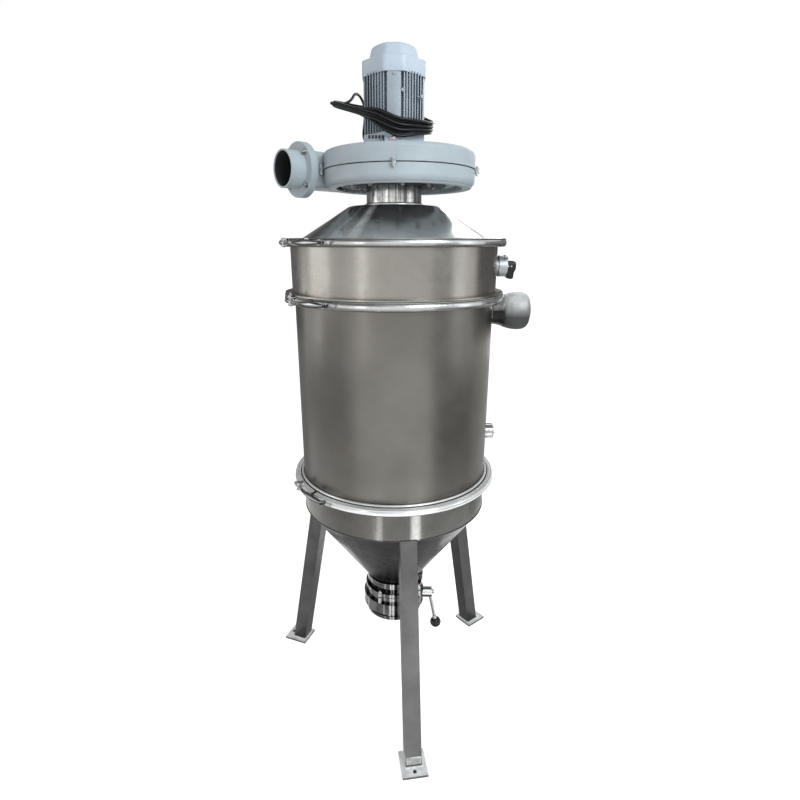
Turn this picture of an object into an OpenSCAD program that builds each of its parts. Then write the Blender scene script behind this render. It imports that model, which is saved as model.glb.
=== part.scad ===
// Baghouse dust collector: a clamped steel drum on three splayed legs, with a
// blower on its lid and a butterfly valve under its hopper.
// Millimetres, +Z up. The origin is on the floor, under the middle of the drum.

/* [Vessel] */
// Outside diameter of the main drum and of the hopper rim
drum_d = 600; // [540:10:680]
// How far the upper drum stands out from the main drum's wall
upper_drum_step = 6; // [0:1:12]
// Thickness of the vessel's sheet
sheet = 2; // [1.5:0.5:4]
// Height of the hopper's joint, where the legs end, above the floor
hopper_joint_z = 723; // [640:1:860]
// Height of the hopper's straight rim
hopper_rim_h = 110; // [80:1:160]
// Height of the hopper's cone
cone_h = 299; // [240:1:340]
// Height of the main drum
drum_h = 569; // [400:1:700]
// Height of the upper drum
upper_drum_h = 155; // [120:1:240]

/* [Lid] */
// Height of the lid's cone above the top clamp
lid_h = 99; // [70:1:140]
// Diameter of the lid's flat top, with its rounded shoulder
lid_top_d = 278; // [220:1:340]
// Width of the flat ledge between the lid's cone and the main drum's wall
lid_ledge = 27; // [10:1:60]
// Radius of the lid's shoulder
lid_shoulder_r = 16; // [6:1:30]
// Outside diameter of the neck between lid and blower
neck_d = 160; // [120:1:200]
// Height of the neck
neck_h = 55; // [30:1:100]
// Thickness of the neck's foot ring
neck_foot_h = 7; // [4:1:12]

/* [Clamps] */
// Width of the clamped rims outside the main drum's wall
rim_w = 26.7; // [20:0.1:40]
// Thickness of a band's steel
band_t = 3; // [2:0.5:5]
// Heights of the top, middle and bottom bands
band_hs = [22, 24, 30]; // [20:1:36]
// Directions of the three latch pins
latch_angles = [237, 238, 231]; // [215:1:250]
// Arc that each latch lever covers
lever_arc = 20; // [16:1:28]
// Height of a latch lever
lever_h = 15; // [10:1:16]

/* [Legs] */
// Width of the square leg tube
leg_w = 50; // [40:1:60]
// Wall of the leg tube
leg_wall = 3; // [2:0.5:5]
// Distance of a leg's middle outside the drum's wall at its foot
foot_out = 107; // [60:1:160]
// How far a foot plate stands out on each side of the leg
foot_margin = 15; // [5:1:30]
// How far a foot plate stands out in front of the leg
foot_toe = 32; // [28:1:60]
// Thickness of a foot plate
foot_t = 8; // [5:1:12]
// Diameter of the anchor hole in a foot plate
anchor_hole_d = 12; // [9:1:16]

/* [Outlet valve] */
// Bore of the valve
valve_bore_d = 144; // [120:1:160]
// Width of the valve's ring, from its bore to its outside
valve_ring_w = 36; // [32:1:46]
// Height of the valve's ring
valve_ring_h = 40; // [30:1:50]
// Width of the dust spigot, from its bore to its outside
spigot_w = 25; // [16:1:30]
// Width of the hopper's outlet, from the valve's bore to the cone's outside
outlet_w = 18; // [14:1:24]
// Diameter of the valve's stem
stem_d = 14; // [10:1:20]
// Thickness of the valve's disc
disc_t = 6; // [4:1:10]
// Length of the lever's rod
lever_rod_l = 116; // [80:1:150]
// Diameter of the lever's knob
knob_d = 40; // [30:1:50]

/* [Blower] */
// Outside diameter of the blower casing
casing_d = 434; // [380:1:480]
// Height of the blower casing
casing_h = 95; // [80:1:120]
// Wall of the blower casing
casing_wall = 5; // [4:0.5:8]
// Direction of the discharge duct
duct_angle = 221.5; // [215:0.5:228]
// Width of the discharge duct
duct_w = 104; // [90:1:120]
// How far the discharge flange's face lies beyond the casing's radius
duct_stub = 8; // [4:1:60]
// Inside diameter of the discharge collar
discharge_bore_d = 92; // [70:1:92]
// Outside diameter of the discharge collar
discharge_d = 100; // [80:1:110]
// Length of the discharge collar
discharge_l = 48; // [30:1:80]
// Diameter of the discharge flanges
flange_d = 146; // [130:1:170]

/* [Motor] */
// Diameter of the motor over its fins
motor_d = 168; // [150:1:170]
// Height of the motor's fins
motor_h = 145; // [110:1:180]
// Height of the motor's base
motor_base_h = 42; // [30:1:60]
// How far the cowl stands out from the fins
cowl_lap = 2; // [1:0.5:6]
// Height of the cowl's brim
cowl_brim_h = 42; // [25:1:60]
// Height of the cowl's dome above its brim
cowl_dome_h = 32; // [20:1:50]
// Diameter of the power cable
cable_d = 7.5; // [6:0.5:10]

/* [Side fittings] */
// Diameter of the dust inlet pipe
inlet_d = 72; // [60:1:76]
// Diameter of the inlet's cap
inlet_cap_d = 118; // [90:1:120]
// Diameter of the side port
port_d = 50; // [40:1:60]
// Height of the side port below the middle clamp
port_drop = 443; // [300:1:460]

/* [Hidden] */
$fn = 96;

steel = "#b9b8b2";
bright_steel = "#d6d8d8";
paint = "#a9b6be";
black = "#1c1c1e";

fit_gap = 0.3;
long = 2000;

// Heights of the three clamped joints, from the top one down
bottom_joint_z = hopper_joint_z + hopper_rim_h;
middle_joint_z = bottom_joint_z + drum_h;
top_joint_z = middle_joint_z + upper_drum_h;
joint_zs = [top_joint_z, middle_joint_z, bottom_joint_z];
drum_r = drum_d / 2;
upper_drum_r = drum_r + upper_drum_step;
rim_r = drum_r + rim_w;
band_r = rim_r + fit_gap + band_t;
lid_foot_r = drum_r - lid_ledge;
lip_inset = 16;

// Latches
latch_pin_r = band_r + 10;
latch_pin_d = 6;
latch_hub_r = 7;
lever_t = 4;
ear_t = 2.5;
ear_r = 9;
bail_d = 5;
catch_step = 9;
keeper_w = 22;
keeper_out = 12;
trunnion_r = 8;
trunnion_out = 7;
trunnion_proud = 7;
keeper_bolt_d = 8;
keeper_bolt_l = 88;

// Legs
leg_angles = [-81.8, 38.2, 158.2];
leg_top_r = drum_r - leg_w / 2;
foot_r = drum_r + foot_out;
leg_tilt = atan((foot_r - leg_top_r) / (hopper_joint_z - foot_t));
foot_heel = 8;
foot_inner_r = foot_r - leg_w / 2 - foot_heel;
foot_l = foot_heel + leg_w + foot_toe;
foot_w = leg_w + 2 * foot_margin;
anchor_edge = 16;
anchor_r = foot_inner_r + foot_l - anchor_edge;

// Outlet valve, from the cone down
outlet_z = hopper_joint_z - cone_h;
outlet_d = valve_bore_d + 2 * outlet_w;
valve_d = valve_bore_d + 2 * valve_ring_w;
spigot_d = valve_bore_d + 2 * spigot_w;
ferrule_h = 9;
ferrule_d = outlet_d - 4;
clamp_wall = 6.5;
clamp_h = 20;
collar_neck_d = ferrule_d - 10;
collar_neck_h = 20;
collar_flange_d = valve_d - 14;
collar_flange_h = 12;
collar_z = outlet_z - 2 * ferrule_h - collar_neck_h - collar_flange_h;
gasket_h = 4;
ring_top_h = 22;
ring_top_z = collar_z - gasket_h;
ring_z = ring_top_z - ring_top_h - valve_ring_h;
spigot_neck_h = 16;
spigot_flange_h = 12;
stem_z = ring_z + valve_ring_h / 2;
stem_x = -valve_bore_d / 2 - 10;
disc_gap = 1;
hub_gap = 5;
hub_l = 26;
hub_w = 26;
hub_h = 28;
rod_d = 9;
rod_splay = 11;
hub_x = valve_d / 2 + hub_gap;
rod_x = hub_x + hub_l * 0.65;

// Blower
casing_x = 15;
casing_y = 8;
neck_z = top_joint_z + lid_h;
plate_t = 6;
recess_h = 12;
casing_z = neck_z + neck_h + plate_t - recess_h;
casing_top_z = casing_z + casing_h;
parting_z = casing_z + casing_h / 2;
casing_r = casing_d / 2;
top_round = 12;
low_round = 20;
recess_r = casing_r - 34;
duct_round = 14;
duct_flange_t = 10;
collar_flange_t = 12;
suction_r = recess_r - 33;
// The duct's outer wall lies a step inside the casing's side
duct_step = 4;
duct_reach = casing_r + duct_stub;
duct_offset = casing_r - duct_step - duct_w / 2 - (casing_y * cos(duct_angle) - casing_x * sin(duct_angle));
duct_bore_d = casing_h - 2 * casing_wall;

// Motor
motor_z = casing_top_z;
fins_z = motor_z + motor_base_h;
cowl_z = fins_z + motor_h;
cowl_w = motor_d + 2 * cowl_lap;
pad_w = 37;
facet_w = 49;
core_r = motor_d / 2 - 17;
fin_t = 2.6;
fin_pitch = 7.5;
fin_count = 8;
first_fin = 27;
box_w = 84;
box_d = 40;
box_h = 66;
box_y = motor_d / 2 + fit_gap;
gland_d = 16;
gland_l = 22;
gland_z = motor_z + 34;
gland_y = motor_d / 2 + 24;

// Cable: the coil lies tilted round the motor, high at the back and left
coil_x = -33;
coil_z = motor_z + 96;
coil_tilt = [14.6, 12.5, 0];
coil_h = 44;
coil_outer_r = motor_d / 2 + 32;
coil_outer_half = 31.5;
coil_inner_r = motor_d / 2 + 14;
coil_inner_half = 33.5;
cable_points = [[-64, 108, 1834], [-78, 109, 1835], [-91, 114, 1842], [-99, 122, 1858], [-99, 131, 1880],
    [-95, 134, 1905], [-88, 132, 1930], [-82, 126, 1952], [-82, 116, 1969], [-89, 104, 1978],
    [-100, 94, 1976], [-110, 88, 1966], [-115, 85, 1958]];
cable_sides = 10;

// Side fittings
inlet_z = middle_joint_z - band_hs[1] / 2 - inlet_d / 2;
inlet_cap_x = band_r + 4;
inlet_cap_l = 88;
inlet_cap_round = 26;
inlet_l = inlet_cap_x - drum_r + 6;
port_z = middle_joint_z - port_drop;
port_l = 24;
port_rim = 4;
pulse_z = middle_joint_z + 87;
pulse_d = 62;
pulse_l = 33;
pulse_coil_l = 30;
pulse_coil_h = 51;
pulse_coil_w = 46;

// ---- Shapes used by more than one piece ----

module at_angle(angle, r, z) {
    rotate([0, 0, angle]) translate([r, 0, z]) children();
}

module ring(r_out, r_in, h) {
    difference() {
        cylinder(h = h, r = r_out);
        translate([0, 0, -1]) cylinder(h = h + 2, r = r_in);
    }
}

function rim_t(i) = band_hs[i] / 2 - band_t;

function arc(cx, cz, r, a0, a1, steps) =
    [for (i = [0:steps]) let (a = a0 + (a1 - a0) * i / steps) [cx + r * cos(a), cz + r * sin(a)]];

module rounded_rect(w, h, r) {
    union() {
        square([w - 2 * r, h], center = true);
        square([w, h - 2 * r], center = true);
        for (sx = [-1, 1], sy = [-1, 1]) {
            translate([sx * (w / 2 - r), sy * (h / 2 - r)]) circle(r = r);
        }
    }
}

// ---- Legs ----

module leg(angle) {
    rotate([0, 0, angle]) difference() {
        translate([foot_r, 0, foot_t]) rotate([0, -leg_tilt, 0]) difference() {
            cube([leg_w, leg_w, long], center = true);
            cube([leg_w - 2 * leg_wall, leg_w - 2 * leg_wall, long + 2], center = true);
        }
        translate([0, 0, foot_t - long]) cylinder(h = long, r = long);
        translate([0, 0, hopper_joint_z]) cylinder(h = long, r = long);
        translate([0, 0, outlet_z]) cylinder(h = cone_h, r1 = outlet_d / 2 + fit_gap, r2 = drum_r + fit_gap);
    }
}

module foot_plate(angle) {
    rotate([0, 0, angle]) difference() {
        translate([foot_inner_r, -foot_w / 2, 0]) cube([foot_l, foot_w, foot_t]);
        translate([anchor_r, 0, -1]) cylinder(h = foot_t + 2, d = anchor_hole_d);
    }
}

// ---- Vessel ----

// A drum between two clamped joints, with a rim at each end
module drum_shell(r, low_z, high_z, low_rim_t, high_rim_t) {
    translate([0, 0, low_z]) ring(r, r - sheet, high_z - low_z);
    translate([0, 0, low_z]) ring(rim_r, r - sheet, low_rim_t);
    translate([0, 0, high_z - high_rim_t]) ring(rim_r, r - sheet, high_rim_t);
}

module hopper() {
    slope_t = sheet * 1.25;
    color(steel) {
        rotate_extrude() polygon([
            [valve_bore_d / 2, outlet_z - ferrule_h],
            [ferrule_d / 2, outlet_z - ferrule_h],
            [ferrule_d / 2, outlet_z],
            [outlet_d / 2, outlet_z],
            [drum_r, hopper_joint_z],
            [drum_r, bottom_joint_z - rim_t(2)],
            [rim_r, bottom_joint_z - rim_t(2)],
            [rim_r, bottom_joint_z],
            [drum_r - sheet, bottom_joint_z],
            [drum_r - sheet, hopper_joint_z + 1],
            [outlet_d / 2 - slope_t, outlet_z + 1],
            [valve_bore_d / 2, outlet_z + 1]]);
    }
}

module main_drum() {
    color(steel) difference() {
        drum_shell(drum_r, bottom_joint_z, middle_joint_z, rim_t(2), rim_t(1));
        translate([0, 0, inlet_z]) rotate([0, 90, 0]) cylinder(h = long, d = inlet_d + 2 * fit_gap);
        translate([0, 0, port_z]) rotate([0, 90, 0]) cylinder(h = long, d = port_d + 2 * fit_gap);
    }
}

module upper_drum() {
    stiffener_z = middle_joint_z + band_hs[1] / 2 + 1;
    color(steel) {
        drum_shell(upper_drum_r, middle_joint_z, top_joint_z, rim_t(1), rim_t(0));
        translate([0, 0, stiffener_z]) ring(rim_r, upper_drum_r - sheet, 4);
    }
}

module lid() {
    slope = atan((neck_z - top_joint_z - rim_t(0)) / (lid_foot_r - lid_top_d / 2 + lid_shoulder_r * 0.25));
    shoulder_x = lid_top_d / 2 - lid_shoulder_r * 0.75;
    skin = sheet * 1.2;
    color(steel) rotate_extrude() polygon(concat(
        [[neck_d / 2 - 3, neck_z]],
        arc(shoulder_x, neck_z - lid_shoulder_r, lid_shoulder_r, 90, 90 - slope, 6),
        [[lid_foot_r, top_joint_z + rim_t(0) + 2],
            [lid_foot_r + 10, top_joint_z + rim_t(0)],
            [rim_r, top_joint_z + rim_t(0)],
            [rim_r, top_joint_z],
            [upper_drum_r - sheet, top_joint_z],
            [lid_foot_r + 6, top_joint_z + rim_t(0) - skin],
            [lid_foot_r - 4, top_joint_z + rim_t(0) - skin + 2]],
        arc(shoulder_x, neck_z - lid_shoulder_r, lid_shoulder_r - skin, 90 - slope, 90, 6),
        [[neck_d / 2 - 3, neck_z - skin]]));
}

module neck_pipe() {
    color(bright_steel) {
        translate([0, 0, neck_z]) ring(neck_d / 2, neck_d / 2 - 3, neck_h);
        translate([0, 0, neck_z]) ring(neck_d / 2 + 4, neck_d / 2 - 3, neck_foot_h);
    }
}

// ---- Clamps ----

// Turns a piece to a latch's pin, or past it towards the lever's tip
module at_latch(i, step) {
    translate([0, 0, joint_zs[i]]) rotate([0, 0, latch_angles[i] - step]) mirror([0, 1, 0]) children();
}

// The block, trunnion and bolt that draw the band's ends together, past the lever's tip
module band_keeper(i) {
    h = band_hs[i];
    at_latch(i, lever_arc + 4) {
        translate([band_r - 2, -keeper_w / 2, 1 - h / 2]) cube([keeper_out + 2, keeper_w, h - 2]);
    }
    at_latch(i, lever_arc + 12) {
        translate([band_r + trunnion_out, 0, -h / 2 - trunnion_proud]) {
            cylinder(h = h + 2 * trunnion_proud, r = trunnion_r);
        }
    }
    at_latch(i, lever_arc + 10) {
        translate([band_r + trunnion_out, keeper_bolt_l / 2, 0]) rotate([90, 0, 0]) {
            cylinder(h = keeper_bolt_l, d = keeper_bolt_d);
        }
    }
}

// A C-section band that grips two rims, cut open behind its lever
module clamp_band(i) {
    half = band_hs[i] / 2;
    color(bright_steel) union() {
        translate([0, 0, joint_zs[i]]) difference() {
            rotate_extrude() polygon([
                [band_r, -half], [band_r, half], [band_r - lip_inset, half],
                [band_r - lip_inset, half - band_t], [band_r - band_t, half - band_t],
                [band_r - band_t, band_t - half], [band_r - lip_inset, band_t - half],
                [band_r - lip_inset, -half]]);
            at_angle(latch_angles[i] - lever_arc / 2, band_r - 40, -half - 1) {
                translate([0, -10, 0]) cube([80, 20, band_hs[i] + 2]);
            }
        }
        band_keeper(i);
    }
}

// Two ears and a pin on one end of the band, a catch on the other, and the bail between them
module latch_bail(i) {
    ear_z = lever_h / 2 + fit_gap;
    bail_z = ear_z + ear_t + bail_d / 2 - 0.5;
    catch_y = -latch_pin_r * sin(catch_step);
    pin_h = 2 * bail_z + bail_d + 3;
    color(bright_steel) at_latch(i, 0) difference() {
        union() {
            for (s = [-1, 1]) {
                translate([band_r - 4, -8, s * (ear_z + ear_t / 2) - ear_t / 2]) cube([12, 16, ear_t]);
                translate([latch_pin_r, 0, s * (ear_z + ear_t / 2) - ear_t / 2]) {
                    cylinder(h = ear_t, r = ear_r);
                }
                translate([latch_pin_r, 5, s * bail_z]) rotate([90, 0, 0]) {
                    cylinder(h = 10 - catch_y, d = bail_d);
                }
            }
            translate([latch_pin_r, 0, -pin_h / 2]) cylinder(h = pin_h, d = latch_pin_d);
            translate([latch_pin_r, catch_y, -pin_h / 2]) cylinder(h = pin_h, d = latch_pin_d);
            translate([band_r - 6, catch_y - 8, -8]) cube([18, 16, 16]);
        }
        translate([0, 0, -50]) cylinder(h = 100, r = band_r + fit_gap);
    }
}

// A curved strip, leaf-shaped when seen from outside, with an eye for the pin
module latch_lever(i) {
    strip_r = band_r + 5;
    half_l = (strip_r + lever_t) * sin(lever_arc / 2);
    half_h = lever_h / 2;
    color(bright_steel) at_latch(i, 0) difference() {
        union() {
            intersection() {
                translate([0, 0, -half_h]) ring(strip_r + lever_t, strip_r, lever_h);
                rotate([90, 0, 90 + lever_arc / 2]) linear_extrude(long) polygon([
                    [-half_l, -half_h * 0.7], [-half_l * 0.35, 0.5 - half_h], [half_l * 0.1, -half_h * 0.85],
                    [half_l * 0.6, -half_h * 0.5], [half_l, -half_h * 0.12],
                    [half_l, half_h * 0.12], [half_l * 0.6, half_h * 0.5],
                    [half_l * 0.1, half_h * 0.85], [-half_l * 0.35, half_h - 0.5], [-half_l, half_h * 0.7]]);
            }
            translate([latch_pin_r, 0, -half_h]) cylinder(h = lever_h, r = latch_hub_r);
        }
        translate([latch_pin_r, 0, -lever_h]) cylinder(h = 2 * lever_h, d = latch_pin_d + 2 * fit_gap);
    }
}

// ---- Outlet valve ----

module outlet_clamp() {
    clamp_r = ferrule_d / 2 + fit_gap;
    color(bright_steel) translate([0, 0, outlet_z - clamp_h]) difference() {
        union() {
            cylinder(h = clamp_h, r = clamp_r + clamp_wall);
            translate([clamp_r, -9, 2]) cube([16, 18, clamp_h - 4]);
            translate([clamp_r + 11, 20, clamp_h / 2]) rotate([90, 0, 0]) cylinder(h = 42, d = 7);
            translate([clamp_r + 11, -13, clamp_h / 2 - 4]) cube([7, 8, 36], center = true);
        }
        translate([0, 0, -1]) cylinder(h = clamp_h + 2, r = clamp_r);
    }
}

module valve_collar() {
    color(bright_steel) translate([0, 0, collar_z]) {
        ring(collar_flange_d / 2, valve_bore_d / 2, collar_flange_h);
        ring(collar_neck_d / 2, valve_bore_d / 2, collar_flange_h + collar_neck_h + ferrule_h);
        translate([0, 0, collar_flange_h + collar_neck_h]) ring(ferrule_d / 2, valve_bore_d / 2, ferrule_h);
    }
}

module valve_gasket() {
    color(black) translate([0, 0, ring_top_z]) ring(collar_flange_d / 2 - 2, valve_bore_d / 2, gasket_h);
}

module valve_ring() {
    color(bright_steel) difference() {
        union() {
            translate([0, 0, ring_z]) cylinder(h = valve_ring_h, d = valve_d);
            translate([0, 0, ring_z]) cylinder(h = valve_ring_h + ring_top_h, d = collar_flange_d - 6);
        }
        translate([0, 0, ring_z - 1]) cylinder(h = valve_ring_h + ring_top_h + 2, d = valve_bore_d);
        translate([stem_x - 2, 0, stem_z]) rotate([0, 90, 0]) cylinder(h = long, d = stem_d + 2 * fit_gap);
    }
}

module dust_spigot() {
    color(bright_steel) translate([0, 0, ring_z - spigot_neck_h - spigot_flange_h]) {
        ring(spigot_d / 2, valve_bore_d / 2, spigot_flange_h);
        translate([0, 0, spigot_flange_h]) ring(spigot_d / 2 - 5, valve_bore_d / 2, spigot_neck_h);
    }
}

// Drawn open, with the disc upright
module valve_disc() {
    disc_r = valve_bore_d / 2 - disc_gap;
    color(steel) union() {
        translate([0, disc_t / 2, stem_z]) rotate([90, 0, 0]) cylinder(h = disc_t, r = disc_r);
        translate([stem_x, 0, stem_z]) rotate([0, 90, 0]) cylinder(h = hub_x - stem_x, d = stem_d);
    }
}

module lever_rod() {
    translate([rod_x, 0, stem_z]) rotate([0, 180 - rod_splay, 0]) cylinder(h = lever_rod_l + 6, d = rod_d);
}

module valve_lever() {
    color(bright_steel) {
        translate([hub_x, -hub_w / 2, stem_z - hub_h / 2]) cube([hub_l, hub_w, hub_h]);
        lever_rod();
    }
}

module valve_knob() {
    knob_at = lever_rod_l + knob_d / 2;
    color(black) difference() {
        translate([rod_x + knob_at * sin(rod_splay), 0, stem_z - knob_at * cos(rod_splay)]) {
            sphere(d = knob_d);
        }
        lever_rod();
    }
}

// ---- Side fittings ----

module inlet_pipe() {
    color(bright_steel) translate([drum_r - 8, 0, inlet_z]) rotate([0, 90, 0]) {
        ring(inlet_d / 2, inlet_d / 2 - 2, inlet_l + 8);
    }
}

module inlet_cap() {
    cap_r = inlet_cap_d / 2;
    pipe_r = inlet_d / 2 + fit_gap;
    socket_l = drum_r + inlet_l - inlet_cap_x + 1;
    color("#8d9194") translate([inlet_cap_x, 0, inlet_z]) rotate([0, 90, 0]) rotate_extrude() polygon(concat(
        [[pipe_r, 0], [pipe_r + 4, 0], [cap_r - 3, 20], [cap_r, 32]],
        arc(cap_r - inlet_cap_round, inlet_cap_l - inlet_cap_round, inlet_cap_round, 0, 90, 8),
        [[0, inlet_cap_l], [0, socket_l], [pipe_r, socket_l]]));
}

module side_port() {
    color(bright_steel) {
        translate([drum_r - 8, 0, port_z]) rotate([0, 90, 0]) cylinder(h = port_l + 8, d = port_d);
        translate([drum_r + port_l, 0, port_z]) rotate([0, 90, 0]) {
            cylinder(h = port_rim, r1 = port_d / 2, r2 = port_d / 2 - port_rim);
        }
    }
}

module pulse_valve() {
    color(bright_steel) difference() {
        translate([upper_drum_r, 0, pulse_z]) rotate([0, 90, 0]) {
            translate([0, 0, -12]) cylinder(h = pulse_l + 6, d = pulse_d - 10);
            translate([0, 0, 8]) cylinder(h = pulse_l - 8, d = pulse_d);
        }
        translate([0, 0, pulse_z - 100]) cylinder(h = 200, r = upper_drum_r + fit_gap);
    }
}

module pulse_valve_coil() {
    color(black) translate([upper_drum_r + pulse_l, 0, pulse_z - 6]) rotate([90, 0, 90]) {
        linear_extrude(pulse_coil_l) rounded_rect(pulse_coil_w, pulse_coil_h, 8);
    }
}

// ---- Blower ----

module in_duct_frame() {
    rotate([0, 0, duct_angle]) translate([0, -duct_offset, parting_z]) rotate([90, 0, 90]) children();
}

module duct_block(inset, start, end) {
    in_duct_frame() translate([0, 0, start]) linear_extrude(end - start) {
        rounded_rect(duct_w - 2 * inset, casing_h - 2 * inset, duct_round - inset * 0.5);
    }
}

module casing_outside() {
    translate([casing_x, casing_y, 0]) rotate_extrude() polygon(concat(
        [[0, casing_z + recess_h], [recess_r, casing_z + recess_h], [recess_r, casing_z]],
        arc(casing_r - low_round, casing_z + low_round, low_round, -90, 0, 6),
        arc(casing_r - top_round, casing_top_z - top_round, top_round, 0, 90, 5),
        [[0, casing_top_z]]));
    difference() {
        duct_block(0, 40, duct_reach - collar_flange_t);
        translate([casing_x, casing_y, casing_z - 1]) cylinder(h = recess_h + 1, r = recess_r);
    }
    in_duct_frame() translate([0, 0, duct_reach - collar_flange_t - duct_flange_t]) {
        cylinder(h = duct_flange_t, d = flange_d);
    }
}

module casing_inside() {
    translate([casing_x, casing_y, 0]) rotate_extrude() polygon([
        [0, casing_z + recess_h + casing_wall],
        [recess_r + casing_wall, casing_z + recess_h + casing_wall],
        [recess_r + casing_wall, casing_z + casing_wall],
        [casing_r - low_round, casing_z + casing_wall],
        [casing_r - casing_wall, casing_z + low_round],
        [casing_r - casing_wall, casing_top_z - top_round],
        [casing_r - top_round, casing_top_z - casing_wall],
        [0, casing_top_z - casing_wall]]);
    duct_block(casing_wall, 40, duct_reach - collar_flange_t - duct_flange_t);
    in_duct_frame() translate([0, 0, 40]) cylinder(h = duct_reach, d = duct_bore_d);
    translate([0, 0, casing_z - 1]) cylinder(h = casing_h / 2, r = neck_d / 2 - 3);
}

module casing_lower() {
    color(paint) difference() {
        casing_outside();
        casing_inside();
        translate([0, 0, parting_z]) cylinder(h = long, r = long);
    }
}

module casing_upper() {
    color(paint) difference() {
        casing_outside();
        casing_inside();
        translate([0, 0, parting_z - long]) cylinder(h = long, r = long);
    }
}

module suction_plate() {
    color(paint) translate([0, 0, neck_z + neck_h]) ring(suction_r, neck_d / 2 - 3, plate_t);
}

module discharge_collar() {
    color(paint) in_duct_frame() translate([0, 0, duct_reach - collar_flange_t]) {
        ring(flange_d / 2, discharge_bore_d / 2, collar_flange_t);
        ring(discharge_d / 2, discharge_bore_d / 2, collar_flange_t + discharge_l);
    }
}

// ---- Motor ----

function octagon(w, flat) = let (h = w / 2, f = flat / 2)
    [[f, -h], [h, -f], [h, f], [f, h], [-f, h], [-h, f], [-h, -f], [-f, -h]];

module motor_base() {
    color(paint) translate([0, 0, motor_z]) difference() {
        linear_extrude(motor_base_h) polygon(octagon(motor_d, facet_w));
        for (i = [0:4]) {
            translate([-66 + i * 9, -motor_d / 2 - 1, motor_base_h * 0.45]) cube([5, 16, 5]);
        }
    }
}

module motor_body() {
    color(paint) translate([0, 0, fins_z]) linear_extrude(motor_h) intersection() {
        circle(d = motor_d);
        union() {
            circle(r = core_r);
            square([pad_w, motor_d], center = true);
            square([motor_d, pad_w], center = true);
            for (s = [-1, 1], i = [0:fin_count - 1]) {
                translate([s * (first_fin + i * fin_pitch), 0]) square([fin_t, motor_d], center = true);
            }
        }
    }
}

module fan_cowl() {
    dome_w = cowl_w * 0.74;
    color(paint) translate([0, 0, cowl_z]) {
        linear_extrude(cowl_brim_h) polygon(octagon(cowl_w, facet_w));
        translate([0, 0, cowl_brim_h]) hull() {
            linear_extrude(cowl_dome_h - 14) polygon(octagon(dome_w, facet_w));
            linear_extrude(cowl_dome_h - 5) polygon(octagon(dome_w - 8, facet_w - 3));
            linear_extrude(cowl_dome_h) polygon(octagon(dome_w - 26, facet_w - 10));
        }
    }
}

module terminal_box() {
    color(paint) translate([-box_w / 2, box_y, motor_z + 2]) cube([box_w, box_d, box_h]);
}

module cable_gland() {
    color(black) translate([-box_w / 2 - gland_l, gland_y, gland_z]) rotate([0, 90, 0]) {
        cylinder(h = gland_l, d = gland_d);
        translate([0, 0, gland_l - 7]) cylinder(h = 7, d = gland_d + 6, $fn = 6);
    }
}

// Directions along a list of points
function step_dir(p, i) = let (a = p[max(0, i - 1)], b = p[min(len(p) - 1, i + 1)]) (b - a) / norm(b - a);

// A ring of points round one point of a path
function path_ring(p, i, r, n) = let (d = step_dir(p, i), side = cross(d, [0.5, -0.5, 0.7]),
    u = side / norm(side), v = cross(d, u))
    [for (k = [0:n - 1]) p[i] + r * cos(360 * k / n) * u + r * sin(360 * k / n) * v];

// Points of a smooth curve through a list of points
function smooth(p, steps) = let (n = len(p) - 1)
    concat([for (i = [0:n - 1], s = [0:steps - 1]) let (t = s / steps, a = p[max(0, i - 1)], b = p[i],
        c = p[i + 1], d = p[min(n, i + 2)])
        0.5 * (2 * b + (c - a) * t + (2 * a - 5 * b + 4 * c - d) * t ^ 2 + (3 * b - a - 3 * c + d) * t ^ 3)],
        [p[n]]);

module tube_along(p, r, n) {
    rings = len(p);
    points = [for (i = [0:rings - 1]) each path_ring(p, i, r, n)];
    sides = [for (i = [0:rings - 2], k = [0:n - 1]) let (a = i * n + k, b = i * n + (k + 1) % n)
        each [[a, a + n, b + n], [a, b + n, b]]];
    start = [[for (k = [0:n - 1]) k]];
    finish = [[for (k = [0:n - 1]) rings * n - 1 - k]];
    polyhedron(points = points, faces = concat(start, sides, finish), convexity = 6);
}

module power_cable() {
    color(black) tube_along(smooth(cable_points, 2), cable_d / 2, cable_sides);
}

module stadium(half, r) {
    union() {
        translate([half, 0]) circle(r = r);
        translate([-half, 0]) circle(r = r);
        square([2 * half, 2 * r], center = true);
    }
}

module cable_coil() {
    color(black) translate([coil_x, 0, coil_z]) rotate(coil_tilt) translate([0, 0, -coil_h / 2]) {
        linear_extrude(coil_h) difference() {
            stadium(coil_outer_half, coil_outer_r);
            stadium(coil_inner_half, coil_inner_r);
        }
    }
}

color(steel) leg(leg_angles[0]);  // leg_front
color(steel) leg(leg_angles[1]);  // leg_right
color(steel) leg(leg_angles[2]);  // leg_left
color(bright_steel) foot_plate(leg_angles[0]);  // foot_plate_front
color(bright_steel) foot_plate(leg_angles[1]);  // foot_plate_right
color(bright_steel) foot_plate(leg_angles[2]);  // foot_plate_left
hopper();
main_drum();
upper_drum();
lid();
neck_pipe();
clamp_band(0);  // clamp_band_top
clamp_band(1);  // clamp_band_middle
clamp_band(2);  // clamp_band_bottom
latch_bail(0);  // latch_bail_top
latch_bail(1);  // latch_bail_middle
latch_bail(2);  // latch_bail_bottom
latch_lever(0);  // latch_lever_top
latch_lever(1);  // latch_lever_middle
latch_lever(2);  // latch_lever_bottom
outlet_clamp();
valve_collar();
valve_gasket();
valve_ring();
dust_spigot();
valve_disc();
valve_lever();
valve_knob();
inlet_pipe();
inlet_cap();
side_port();
pulse_valve();
pulse_valve_coil();
casing_lower();
casing_upper();
suction_plate();
discharge_collar();
motor_base();
motor_body();
fan_cowl();
terminal_box();
cable_gland();
power_cable();
cable_coil();
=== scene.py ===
import math

import bmesh
import bpy
from mathutils import Matrix, Vector, noise


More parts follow.
